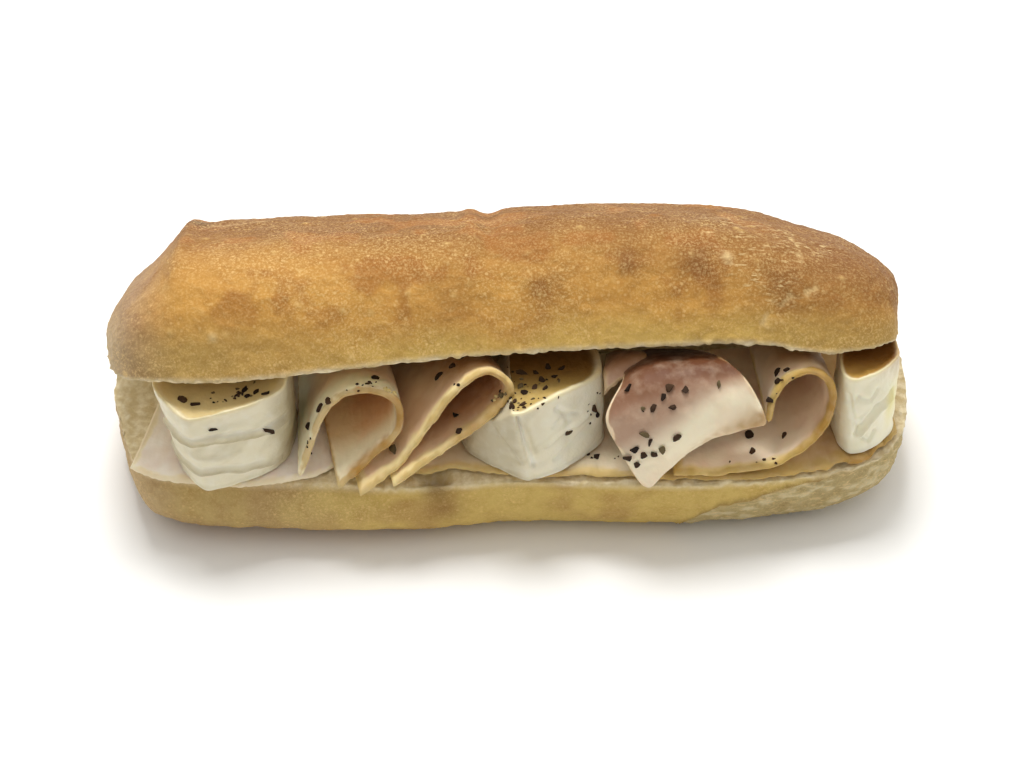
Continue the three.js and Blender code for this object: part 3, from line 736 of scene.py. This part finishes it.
FOLD_ROWS = [
    [(25.8, -22.4, 43.5), (28.6, -21.6, 46.2), (32.6, -20, 48.4), (37, -18.4, 50)],
    [(25.8, -18.4, 47.6), (28.8, -17.2, 49.4), (32.8, -16, 50.4), (37.6, -15, 50.4)],
    [(27.5, -5, 41), (30, -5, 42), (33, -5, 42), (38, -5, 41)],
]


def patch_of(rows):
    return lambda us, vs: patch(rows, us, vs)


# The flat slices: left and right end, lean of the left side, front edge, wave and its pitch
BASE_SLICES = {
    "ham_base_left": base_slice(
        -103, -42, 9,
        [[-103, -28], [-97, -32], [-88, -34.5], [-72, -36], [-60, -34.5], [-50, -31.5], [-42, -24]],
        [[-103, 0.3], [-42, 0.1]], 31,
    ),
    "ham_base_middle": base_slice(
        -33, 37.5, 0, [[-33, -24], [-26, -32.5], [-16, -32], [8, -35], [37.5, -36]],
        [[-33, 0.1], [-20, 0.4], [37, 0.4]], 17,
    ),
    "ham_base_right": base_slice(
        38.5, 107, 0, [[38.5, -37], [60, -38], [76, -37], [90, -34], [99, -31], [107, -22]],
        [[38, 0.2], [74, 0.2], [90, 0.7], [107, 0.8]], 11,
    ),
}

# Each slice: its surface, number of points and thickness
HAM_SLICES = {
    "ham_roll_1": (patch_of(receding(ROLL_1_FRONT, -3, -13)), ROLL_GRID, HAM),
    "ham_roll_2": (patch_of(receding(ROLL_2_FRONT, -16, -16)), ROLL_GRID, HAM),
    "ham_roll_3": (patch_of(ROLL_3_ROWS), ROLL_3_GRID, HAM),
    "ham_roll_4": (patch_of(receding(ROLL_4_FRONT, 0, 0)), ROLL_GRID, HAM),
    "ham_fold": (patch_of(FOLD_ROWS), FOLD_GRID, HAM),
    **{name: (surface, BASE_GRID, BASE_SLICE) for name, surface in BASE_SLICES.items()},
}


def eased(count):
    """Shares from 0 to 1, closer together near both ends."""
    s = np.linspace(0, 1, count)
    return s - 0.12 * np.sin(2 * math.pi * s) / math.pi


def run_along(grid, axis):
    """Distance in millimetres along a grid from its first row or column."""
    steps = np.linalg.norm(np.diff(grid, axis=axis), axis=-1)
    start = np.zeros_like(np.take(steps, [0], axis=axis))
    return np.cumsum(np.concatenate([start, steps], axis=axis), axis=axis)


# Flesh of each slice, the width of its pale rim, the rim's colour, and how golden its very edge is
# The first roll's broad, near-white rim is partly its fat edge and partly painted light on its outer face
HAM_LOOKS = {
    "ham_roll_1": ((255, 228, 192), 13, (255, 248, 216), 0.75),
    "ham_roll_2": ((234, 202, 164), 4, (240, 218, 160), 0.6),
    "ham_roll_3": ((255, 240, 210), 0.8, (244, 222, 190), 0.1),
    "ham_roll_4": ((255, 234, 206), 3, (230, 204, 140), 0.8),
    "ham_fold": ((220, 182, 156), 2, (232, 204, 170), 0.2),
    "ham_base_left": ((255, 244, 234), 2, (252, 238, 208), 0.2),
    "ham_base_middle": ((240, 222, 190), 3, (228, 202, 140), 0.5),
    "ham_base_right": ((212, 182, 136), 5, (200, 172, 112), 0.5),
}

# The face of each rolled slice that is inside the roll, and how much painted shade deepens it towards the
# back of the hollow
HOLLOW_SHADES = {"ham_roll_1": (-1, 0.9), "ham_roll_2": (-1, 1), "ham_roll_4": (1, 0.2)}

# Where the painted shade of each slice begins towards the back, and where it is darkest
SHADE_DEPTHS = {"ham_roll_1": (-12, 4), "ham_roll_3": (-36, -27), "ham_roll_4": (-25, -13)}

# Browned patches of each slice: place, radius and strength
BROWNED = {
    "ham_roll_1": [
        ((-40, -35, 31), 6, 0.9), ((-34.5, -33, 36), 3.5, 0.8), ((-29, -29, 44), 4, 0.9),
        ((-30.5, -28, 49), 3, 0.8), ((-36, -27.6, 50.6), 2.6, 0.8), ((-42, -27.6, 50.4), 2, 0.7),
    ],
    "ham_roll_2": [
        ((-10, -31.5, 41), 6, 0.5), ((-2, -28.5, 47), 4, 0.6),
    ],
    "ham_roll_3": [
        ((66.5, -34, 44), 4, 0.8), ((61.5, -35, 42.5), 3.2, 0.7), ((56.5, -35.3, 40.6), 2.8, 0.6),
        ((51.5, -35.6, 38), 2.2, 0.5),
    ],
    "ham_roll_4": [
        ((83, -27, 53), 6, 0.6), ((86.5, -29, 44), 6, 0.8), ((83, -33, 37), 5, 0.7),
    ],
    "ham_base_right": [
        ((96, -31, 26), 9, 0.7),
    ],
    "ham_base_middle": [
        ((9, -34, 26), 6, 0.4),
    ],
}


def shaded(tint, p, name, share=1.0):
    """Painted shade: colours deepened where a filling goes back under the upper bread."""
    gap = upper_cut(p[..., 0], p[..., 1]) - p[..., 2]
    in_shade = (1 - smooth(2, 15, gap)) * smooth(*SHADE_DEPTHS.get(name, (-28, -18)), p[..., 1])
    return toward(tint, tint * (0.45, 0.29, 0.15), share * in_shade)


def ham_slice(name):
    surface, (u_count, v_count), thickness = HAM_SLICES[name]
    us, vs = eased(u_count), eased(v_count)
    middle = surface(us, vs)
    normal = surface_normals(middle)
    seed = 50 + list(HAM_SLICES).index(name)
    along, across = run_along(middle, 1), run_along(middle, 0)
    sides = np.minimum(along, along[:, -1:] - along)
    ends = np.minimum(across, across[-1:] - across)
    edge = np.minimum(sides, ends)
    front = np.minimum(sides, across)
    wrinkle = 0.35 * layered(middle, (9, 14, 9), seed) * smooth(0, 3, edge)
    round_edge = np.sqrt(1 - (1 - np.clip(edge / (0.6 * thickness), 0, 1)) ** 2)
    half = thickness / 2 * (0.15 + 0.85 * round_edge)
    nibbled = 0.5 * layered(middle, 2.2, seed + 3) * (1 - smooth(0, 2, front))
    middle = middle - unit(np.gradient(middle, axis=0)) * nibbled[..., None]
    faces = []
    for side in (1, -1):
        fibres = 0.14 * layered(middle, (2.2, 5, 2.2), seed + 5 + side)
        faces.append(middle + normal * (wrinkle + side * (half + fibres * round_edge))[..., None])
    rows, columns = middle.shape[:2]
    count = rows * columns
    points = np.concatenate([f.reshape(-1, 3) for f in faces])
    quads = [grid_faces(rows, columns, False), grid_faces(rows, columns, False, count, flip=True)]
    border = border_loop(rows, columns)
    after = np.roll(border, -1)
    quads.append(np.stack([border, border + count, after + count, after], axis=1))
    flesh, width, rim_colour, golden = HAM_LOOKS[name]
    tint = linear(*flesh) + 0 * points
    mottled = 0.3 if name == "ham_roll_3" else 0.6
    tint = toward(tint, tint * (0.82, 0.7, 0.66), mottled * smooth(-0.3, 0.8, layered(points, 8, seed + 9)))
    if name == "ham_roll_3":
        # The third slice: its upper part turns mauve, partly its own colour and partly painted shade, and its
        # top rows get more painted shade under the upper bread
        tint = toward(tint, linear(180, 144, 120), mauve_and_shade_share(us, vs))
        up = np.tile(np.repeat(vs, len(us)), 2)
        tint = toward(tint, tint * (0.5, 0.36, 0.28), smooth(0.5, 0.68, up))
    if name == "ham_base_right":
        tint = toward(tint, linear(236, 210, 166), 0.7 * smooth(96, 102, points[:, 0]))
    rim = np.tile(front.ravel(), 2) + 1.0 * layered(points, 4, seed + 11)
    tint = toward(tint, linear(*rim_colour), 1 - smooth(0.45 * width, width, rim))
    tint = toward(tint, linear(190, 156, 78), golden * (1 - smooth(0.3, 1.5, rim)))
    # Painted shade inside the hollow of a rolled slice, deeper towards the back
    if name in HOLLOW_SHADES:
        inner_side, share = HOLLOW_SHADES[name]
        hollow_shade = share * np.repeat([inner_side == side for side in (1, -1)], count)
        tint = toward(tint, tint * (0.78, 0.62, 0.46), hollow_shade * smooth(-33, -20, points[:, 1]))
    wavy = points + 1.5 * layered(points, 3, 91)[..., None]
    near_rim = 1 if name == "ham_roll_3" else 1 - smooth(2, 7, rim)
    for place, radius, strength in BROWNED.get(name, []):
        tint = washed(tint, ((170, 124, 48), strength * swell(away(wavy, place), radius) * near_rim))
    # Painted shade where the slice goes back under the upper bread
    tint = shaded(tint, points, name)
    return make_mesh(f"{name}_slice", points, np.concatenate(quads).tolist(), tint, {}, FINISHES["ham"])


def mauve_and_shade_share(us, vs):
    """The upper part of the third folded slice is a darker mauve over a slanting line, partly the meat's own
    colour and partly painted shade.
    """
    u, v = np.meshgrid(us, vs)
    return 0.92 * np.tile(smooth(-0.06, 0.09, v - 0.37 - 0.2 * u).ravel(), 2)


def border_loop(rows, columns):
    """Numbers of the points round the border of a grid, in order."""
    n = np.arange(rows * columns).reshape(rows, columns)
    return np.concatenate([n[0], n[1:, -1], n[-1, -2::-1], n[-2:0:-1, 0]])


# The cheese

# Each piece: its outlines, the height of its top with its slopes and dip, and the colours of the
# paste in front and, with painted shade, at the back, with how much painted shade darkens it under the upper
# bread, and of its lip
CHEESES = {
    "cheese_1": {
        "bottom": [
            [-84, -8], [-90, -19], [-89, -29.5], [-82.5, -38], [-78, -38], [-67, -33.5], [-60, -26], [-60, -8]
        ],
        "top": [
            [-88, -8], [-95, -21], [-89, -31], [-84.6, -34.8], [-76, -33.6], [-67, -31], [-59, -25], [-61, -8]
        ],
        "height": 52, "rise": (0.07, 0.08), "dish": 2.6,
        "paste": [(214, 192, 138), (208, 180, 124), 0.25],
        "lip": (222, 206, 164),
    },
    "cheese_2": {
        "bottom": [
            [-3, -6], [-12, -18], [-11, -27], [2.6, -37.2], [7, -37.6], [16, -33], [25.5, -23], [22, -6],
        ],
        "top": [[2, -6], [-5, -18], [-5, -27], [-0.5, -34], [3, -34.6], [13, -28], [25, -19.6], [22, -6]],
        "height": 49.5, "rise": (0, 0), "dish": 1,
        "paste": [(190, 162, 96), (134, 96, 38), 0.8],
        "lip": (242, 228, 184),
    },
    "cheese_3": {
        "bottom": [
            [92, -8], [89, -18], [89.8, -27], [92.4, -31], [97, -30.5], [102, -27], [106, -20], [104, -8],
        ],
        "top": [
            [92, -7], [89, -18], [89.2, -25.5], [92, -27.6], [97, -26], [102, -22.5], [105.6, -17], [103, -7],
        ],
        "height": 52, "rise": (0, 0), "dish": 1,
        "paste": [(200, 160, 84), (140, 94, 26), 0.8],
        "lip": (242, 228, 184),
    },
}

# The side profile of a piece of cheese, from the middle of its top to the middle of its base:
# share of the outline, share of the height, and share of the dip in the top face
CHEESE_PROFILE = [
    (0, 1, 1),
    (0.5, 1, 0.8),
    (0.86, 1, 0.3),
    (0.965, 1, 0),
    (1, 0.95, 0),
    (1.015, 0.78, 0),
    (1.02, 0.6, 0),
    (1.02, 0.42, 0),
    (1.01, 0.22, 0),
    (1, 0.06, 0),
    (0.94, 0, 0),
    (0, 0, 0),
]


def middle_of(cheese):
    return np.mean(np.array(cheese["top"], float), axis=0)


def cheese_top(cheese, x, y):
    """Height of the top, which rises a little and is lower where the upper bread presses on it."""
    middle = middle_of(cheese)
    height = cheese["height"] + cheese["rise"][0] * (x - middle[0]) + cheese["rise"][1] * (y - middle[1])
    return np.minimum(height, upper_cut(x, y) - 2 * CLEARANCE)


def cheese_plan(cheese, turns, height):
    """The outline of a piece of cheese at shares of a turn and of its height."""
    low, high = (closed_curve(cheese[part], turns)[None] for part in ("bottom", "top"))
    return low + (high - low) * height[..., None]


def dip_at(cheese, x, y):
    """How far the dished top of a piece of cheese lies below its rim, over a point of the plan."""
    middle = middle_of(cheese)
    out = np.array([x, y]) - middle
    rim = closed_curve(cheese["top"], np.arange(90) / 90) - middle
    lengths = np.linalg.norm(rim, axis=1)
    nearest = lengths[np.argmax(rim @ out / lengths)]
    stations = [(share, dip) for share, _, dip in CHEESE_PROFILE[:4]]
    return cheese["dish"] * through(stations, np.linalg.norm(out) / nearest)


# Creases and ridges in the front wall of each cheese: line of X and Z, width and height; the ridges also
# carry a painted highlight and the creases painted shade
CHEESE_CREASES = {
    "cheese_1": [
        ([(-96, 39.6), (-86.3, 41.6), (-78, 42.9), (-71.5, 42), (-65.9, 41.5), (-60, 41)], 0.5, -1.0),
        ([(-96, 41), (-86.3, 43), (-78, 44.4), (-71.5, 43.6), (-65.9, 43), (-60, 42.4)], 0.9, 0.6),
        ([(-96, 31), (-85, 32), (-78.8, 33), (-72.3, 31.6), (-66.7, 30.3), (-62.4, 28.6)], 0.5, -0.9),
        ([(-96, 32.5), (-85, 33.5), (-78.8, 34.5), (-72.3, 33), (-66.7, 31.8)], 0.9, 0.5),
        ([(-84, 38), (-77, 37.4), (-72, 38)], 0.8, -0.35),
    ],
    "cheese_2": [
        ([(2.3, 48.8), (3.4, 43.7), (4.4, 38.3), (6, 31.9)], 0.8, 1.1),
        ([(4.2, 46), (5.4, 41), (6.6, 36)], 0.8, -0.5), ([(13, 46), (15.5, 43), (16.5, 40)], 0.7, 0.9),
        ([(12, 41.5), (15.5, 43), (19, 41.5)], 0.7, 0.6),
        ([(9.3, 36.5), (14, 38), (19, 38.6), (22.5, 40)], 0.7, -0.8),
        ([(12, 31), (17.7, 33.9), (22.5, 36)], 0.8, 0.7), ([(-3, 41), (0, 38), (3, 33)], 0.8, -0.5),
    ],
    "cheese_3": [
        ([(93.7, 33.9), (96.2, 37.7), (98.6, 40.5), (103.7, 42.2)], 0.7, 1.1),
        ([(95, 33), (97.5, 36.4), (100, 38.8), (104, 40)], 0.7, -0.8),
        ([(90.5, 46), (92, 41), (94.6, 35)], 0.7, 0.6), ([(95.5, 31.5), (97.5, 30), (99, 32.5)], 0.6, 0.8),
        ([(93.5, 46), (97, 43.5), (99, 46)], 0.7, 0.8),
    ],
}

# How far left the second piece of cheese goes at each height, beside the slice that leans on it
PRESSED = [[38, -30], [42, -6.5], [44, -3.5], [47, -1], [50, 0.8], [52, 1.5]]


def cheese_piece(name):
    cheese = CHEESES[name]
    around, rows = CHEESE_GRID
    dense = curve(CHEESE_PROFILE, np.linspace(0, 1, 1201))
    share, height, dip = (evenly(dense[:, :2] * (14, 25), dense[:, k], rows)[:, None] for k in range(3))
    middle = middle_of(cheese)
    plan = cheese_plan(cheese, np.arange(around) / around, height)
    x, y = np.moveaxis((plan - middle) * share[..., None] + middle, -1, 0)
    top = cheese_top(cheese, x, y) - cheese["dish"] * dip
    base = np.stack([x, y, FILLING_FLOOR + (top - FILLING_FLOOR) * height], axis=-1)
    seed = 80 + list(CHEESES).index(name)
    wall = smooth(0, 0.06, 1 - height + 0 * x)
    lean = base - base[..., :1] * (0, 0, 0.5)
    crinkled = 0.3 * (1 - np.abs(noise(lean, (13, 13, 5), seed))) ** 4
    wavy = (base + 0.6 * layered(base, 9, seed + 11)[..., None])[..., [0, 2]]
    ridges = sum(up * swell(away_from_line(wavy, line), width) for line, width, up in CHEESE_CREASES[name])
    ridges = ridges * (base[..., 1] < middle[1])
    relief = wall * (crinkled + 0.22 * layered(base, 6, seed + 3) + ridges)
    relief = relief + (1 - wall) * 0.25 * layered(base, 3, seed + 7)
    p = raised(base, relief * smooth(0, 0.3, share))
    if name == "cheese_2":
        p[..., 0] = np.maximum(p[..., 0], through(PRESSED, p[..., 2]))
    # The ridges get a painted highlight and the creases painted shade, over the rind's own mottled white
    tint = washed(
        linear(234, 225, 196) + 0 * p,
        ((212, 202, 168), 0.6 * smooth(-0.2, 0.8, layered(lean, (7, 7, 3), seed + 5)) * wall),
        ((255, 252, 238), 0.7 * np.clip(ridges, 0, 1) * wall),
        ((176, 160, 120), 0.8 * np.clip(-ridges, 0, 1) * wall),
    )
    # Painted shade over the right end of the first piece's wall
    if name == "cheese_1":
        tint = toward(tint, linear(176, 160, 124), 0.6 * smooth(-66, -60, p[..., 0]) * wall)
    # Painted shade on the left facet of the second piece and painted light on its right facet
    if name == "cheese_2":
        left, right = 0.6 * (1 - smooth(1, 6, p[..., 0])) * wall, 0.6 * smooth(6, 12, p[..., 0]) * wall
        tint = washed(tint, ((192, 180, 150), left), ((252, 246, 224), right))
    inside = (1 - wall) * (1 - smooth(0.82, 0.94, share + 0.03 * noise(base, 5, seed + 9)))
    front_paste, shaded_paste, paste_shade = cheese["paste"]
    # Painted shade: the paste turns darker towards the back, under the upper bread
    back = inside * smooth(-29, -16, p[..., 1])
    tint = washed(tint, (cheese["lip"], (1 - wall) * (1 - inside)), (front_paste, inside), (shaded_paste, back))
    if name == "cheese_3":
        paste = smooth(101, 104, p[..., 0]) * swell(p[..., 2] - 38, 6)
        tint = washed(tint, ((252, 246, 218), 0.6 * wall), ((236, 224, 130), 0.7 * paste))
    # Painted shade where the piece goes back under the upper bread
    tint = shaded(tint, p, name, paste_shade)
    return ringed_mesh(f"{name}_piece", p, tint, {"paste": inside}, FINISHES["cheese"])


# Pepper

FLAKE_LENGTH = 2.6
FLAKE_DEPTH = 1.3
FLAKE_APART = 2.4

# Clusters on each face, with its random seed: u, v, their spreads, and the number of flakes.
# On ham, u and v are shares of the slice and the face is 1 or -1; on cheese they are X and Y on
# the top, and a share of a turn and of the height on the wall.
PEPPER = {
    "ham_roll_1": [(1, 1306, [(0.24, 0.08, 0.12, 0.1, 4), (0.52, 0.18, 0.03, 0.05, 1)])],
    "ham_roll_2": [
        (1, 282, [(0.38, 0.27, 0.07, 0.08, 4), (0.13, 0.08, 0.03, 0.04, 1)]),
        (-1, 1172, [(0.83, 0.12, 0.02, 0.12, 2), (0.68, 0.03, 0.03, 0.03, 1)]),
    ],
    "ham_roll_3": [
        (1, 207, [(0.42, 0.58, 0.16, 0.07, 7), (0.2, 0.38, 0.2, 0.1, 10),
                  (0.14, 0.7, 0.05, 0.05, 2), (0.77, 0.59, 0.05, 0.03, 2)]),
    ],
    "ham_roll_4": [(-1, 1057, [(0.82, 0.1, 0.08, 0.14, 5)]), (1, 1485, [(0.2, 0.16, 0.07, 0.12, 3)])],
    "ham_base_middle": [(1, 51, [(0.8, 0.12, 0.04, 0.06, 3)])],
    "cheese_1": [
        ("top", 1057, [(-69, -25, 4.5, 3, 9), (-84, -27, 5, 2.5, 3)]),
        ("wall", 62, [(0.47, 0.8, 0.02, 0.05, 1), (0.67, 0.6, 0.02, 0.05, 1)]),
    ],
    "cheese_2": [
        ("top", 1416, [(6.5, -21, 7, 6, 13), (13, -16, 5, 4, 4), (2, -30.5, 3.5, 1.5, 5)]),
        ("wall", 72, [(0.72, 0.6, 0.02, 0.25, 5), (0.64, 0.5, 0.02, 0.1, 2)]),
    ],
}


def random_stream(seed):
    """A repeatable stream of numbers from 0 to 1."""
    state = seed
    while True:
        state = (state * 1664525 + 1013904223) % 4294967296
        yield state / 4294967296


def on_surface(surface, u, v):
    """Place and normal on a surface of shares u and v."""
    d = 1e-3
    us, vs = np.clip([u - d, u, u + d], 0, 1), np.clip([v - d, v, v + d], 0, 1)
    grid = surface(us, vs)
    normal = np.cross(grid[1, 2] - grid[1, 0], grid[2, 1] - grid[0, 1])
    return grid[1, 1], normal / np.linalg.norm(normal)


def cheese_wall(cheese):
    def surface(us, vs):
        height = np.asarray(vs)[:, None]
        plan = cheese_plan(cheese, us, height)
        top = cheese_top(cheese, plan[..., 0], plan[..., 1])
        return np.concatenate([plan, (FILLING_FLOOR + (top - FILLING_FLOOR) * height)[..., None]], axis=-1)

    return surface


def pepper_place(name, face, u, v):
    if face == "top":
        cheese = CHEESES[name]
        return np.array([u, v, cheese_top(cheese, u, v) - dip_at(cheese, u, v)]), np.array([0, 0, 1.0])
    if face == "wall":
        return on_surface(cheese_wall(CHEESES[name]), u, v)
    surface, _, thickness = HAM_SLICES[name]
    place, normal = on_surface(surface, *np.clip((u, v), 0.02, 0.98))
    return place + normal * face * thickness / 2, normal * face


def pepper_flakes():
    """Where the flakes lie: place, normal, size and turn, by the same draws as in the part's source."""
    for name, faces in PEPPER.items():
        for face, seed, clusters in faces:
            draws = random_stream(seed)
            placed = []
            for u, v, spread_u, spread_v, count in clusters:
                for _ in range(count):
                    at_u = u + spread_u * (next(draws) + next(draws) - 1)
                    at_v = v + spread_v * (next(draws) + next(draws) - 1)
                    size = FLAKE_LENGTH * (0.75 + 0.5 * next(draws))
                    turn = next(draws) * math.pi
                    place, normal = pepper_place(name, face, at_u, at_v)
                    if all(np.linalg.norm(place - other) >= FLAKE_APART for other in placed):
                        placed.append(place)
                        yield name, place, normal, size, turn


# Fine pepper between the flakes: piece, middle, spread and count
PEPPER_DUST = [
    ("cheese_2", (5, -24, 49), (9, 8, 1), 30),
    ("cheese_2", (2, -31, 49), (4, 2, 1), 12),
    ("cheese_2", (21, -24, 40), (3, 3, 8), 6),
    ("cheese_1", (-72, -26, 51), (9, 4, 1), 16),
    ("ham_roll_1", (-36, -24, 52), (6, 4, 2), 9),
    ("ham_roll_1", (-54, -32, 38), (2, 2, 6), 5),
    ("ham_roll_2", (-14, -24, 51), (8, 5, 5), 7),
    ("ham_roll_2", (-3, -28, 47), (3, 3, 4), 9),
    ("ham_roll_3", (45, -33, 44), (13, 5, 8), 12),
    ("ham_roll_4", (76, -27, 50), (5, 3, 4), 8),
    ("ham_roll_4", (68, -35, 31), (12, 3, 3), 5),
    ("ham_base_middle", (26, -30, 26), (6, 4, 1), 7),
    ("ham_base_right", (46, -36, 26), (8, 2, 1), 5),
]


# Pale crumbs and shreds lying on the fillings: piece, middle, spread and count
SHREDS = [
    ("ham_roll_1", (-31.5, -25.5, 50.5), (2, 1.6, 1), 7),
    ("ham_roll_2", (-3, -27, 47), (1.6, 1.4, 2), 4),
]


def flake_shape():
    """Points and triangles of a rough ball that each flake is cut down from."""
    bpy.ops.mesh.primitive_ico_sphere_add(subdivisions=2, radius=0.5)
    ball = bpy.context.object
    points = np.array([v.co for v in ball.data.vertices])
    faces = np.array([list(f.vertices) for f in ball.data.polygons])
    bpy.data.objects.remove(ball)
    return points, faces


def cut_flake(ball, rng):
    """A ball cut flat by random planes, some of them round its sides, like a cracked corn."""
    points = ball.copy()
    for k in range(9):
        direction = rng.normal(size=3)
        if k < 5:
            angle = 2 * math.pi * (k + rng.uniform(-0.35, 0.35)) / 5
            direction = np.array([math.cos(angle), math.sin(angle), rng.uniform(-0.4, 0.4)])
        direction /= np.linalg.norm(direction)
        beyond = np.maximum(points @ direction - rng.uniform(0.15, 0.4), 0)
        points -= beyond[:, None] * direction
    return points


def scattered(heaps, rng):
    """Piece and place of each grain of some heaps, round their middles."""
    for name, middle, spread, count in heaps:
        for _ in range(count):
            yield name, np.array(middle) + np.array(spread) * rng.normal(0, 0.5, 3)


def pepper(made):
    """The flakes of the solids, finer grains between them and a few pale shreds, as one piece."""
    rng = np.random.default_rng(5)
    ball, ball_faces = flake_shape()
    trees = {name: tree_of(made[name]) for name in {*PEPPER, *(row[0] for row in PEPPER_DUST)}}
    wanted = [(name, place, size, FLAKE_DEPTH, turn) for name, place, _, size, turn in pepper_flakes()]
    for name, place in scattered(PEPPER_DUST, rng):
        size = rng.uniform(0.5, 1.3)
        wanted.append((name, place, size, 0.6 * size, rng.uniform(0, math.pi)))
    dark = len(wanted)
    for name, place in scattered(SHREDS, rng):
        wanted.append((name, place, rng.uniform(0.9, 1.7), 0.9, rng.uniform(0, math.pi)))
    points, faces, tints = [], [], []
    for number, (name, place, size, depth, turn) in enumerate(wanted):
        near, normal, _, _ = trees[name].find_nearest(Vector((place - SOURCE_MIDDLE) / METRE))
        c, s = math.cos(turn), math.sin(turn)
        spin = np.array(normal.to_track_quat("Z", "Y").to_matrix()) @ [[c, -s, 0], [s, c, 0], [0, 0, 1]]
        shape = cut_flake(ball, rng) * (1.5 * size, 1.4 * size * rng.uniform(0.6, 0.95), 1.3 * depth)
        faces.append(ball_faces + len(ball) * len(points))
        middle = np.array(near) * METRE + SOURCE_MIDDLE + np.array(normal) * 0.12 * depth
        points.append(shape @ spin.T + middle)
        colour = toward(linear(30, 20, 13), linear(74, 52, 34), rng.uniform(0, 1))
        if rng.uniform() < 0.18:
            colour = linear(104, 90, 62)
        if number >= dark:
            colour = linear(222, 200, 138)
        tints.append(np.tile(colour, (len(ball), 1)))
    points, faces, tints = (np.concatenate(rows) for rows in (points, faces, tints))
    piece = make_mesh("pepper", points, faces.tolist(), tints, {}, FINISHES["pepper"])
    piece.data.polygons.foreach_set("use_smooth", np.zeros(len(piece.data.polygons), bool))


def tree_of(piece):
    mesh = piece.data
    return BVHTree.FromPolygons([v.co[:] for v in mesh.vertices], [list(f.vertices) for f in mesh.polygons])


# Putting it together


def make_sandwich():
    made = {"bread_top": upper_bread(), "bread_bottom": lower_bread()}
    for name in CHEESES:
        made[name] = cheese_piece(name)
    for name in HAM_SLICES:
        made[name] = ham_slice(name)
    for name, piece in made.items():
        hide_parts(name)
    return made


def make_floor():
    bpy.ops.mesh.primitive_plane_add(size=6)
    floor = bpy.context.object
    floor.name = "floor"
    white = Graph(bpy.data.materials.new("white floor"))
    floor.data.materials.append(white.finished(Base_Color=(0.93, 0.93, 0.92), Roughness=0.9))


def aimed(name, data, location, target):
    """A lamp or a camera at a place, aimed at a target."""
    made = bpy.data.objects.new(name, data)
    made.location = location
    made.rotation_euler = (target - made.location).to_track_quat("-Z", "Y").to_euler()
    bpy.context.scene.collection.objects.link(made)
    return made


def make_light():
    """A soft sky that is bright above and behind and dim in front, and a broad lamp above."""
    world = bpy.data.worlds.new("studio")
    sky = Graph(world)
    inputs = {0: sky.node("TexCoord", "Generated", {}), 1: (0.18, 0.58, 0.79)}
    lean = sky.node("VectorMath", "Value", inputs, operation="DOT_PRODUCT")
    glow = sky.ranged(lean, -0.3, 0.95, 0.2, 1.12)
    sky.give(sky.nodes["Background"].inputs, {"Color": (1, 0.985, 0.95), "Strength": glow})
    bpy.context.scene.world = world
    lamp = bpy.data.lights.new("soft light", "AREA")
    lamp.size = 0.35
    lamp.energy = 8
    aimed("soft light", lamp, (-0.08, 0.3, 1.05), Vector((0, 0, 0)))


def make_camera():
    """The photo's view: from in front, above at 45 degrees and a little to the left."""
    azimuth, elevation, distance = math.radians(-2.0), math.radians(45), 0.64
    level = math.cos(elevation)
    back = Vector((math.sin(azimuth) * level, -math.cos(azimuth) * level, math.sin(elevation)))
    target = Vector((0.0002, -0.0013, 0.026))
    data = bpy.data.cameras.new("camera")
    data.lens = 80
    bpy.context.scene.camera = aimed("camera", data, target + back * distance, target)


pepper(make_sandwich())
make_floor()
make_light()
make_camera()
bpy.context.scene.view_settings.view_transform = "Standard"
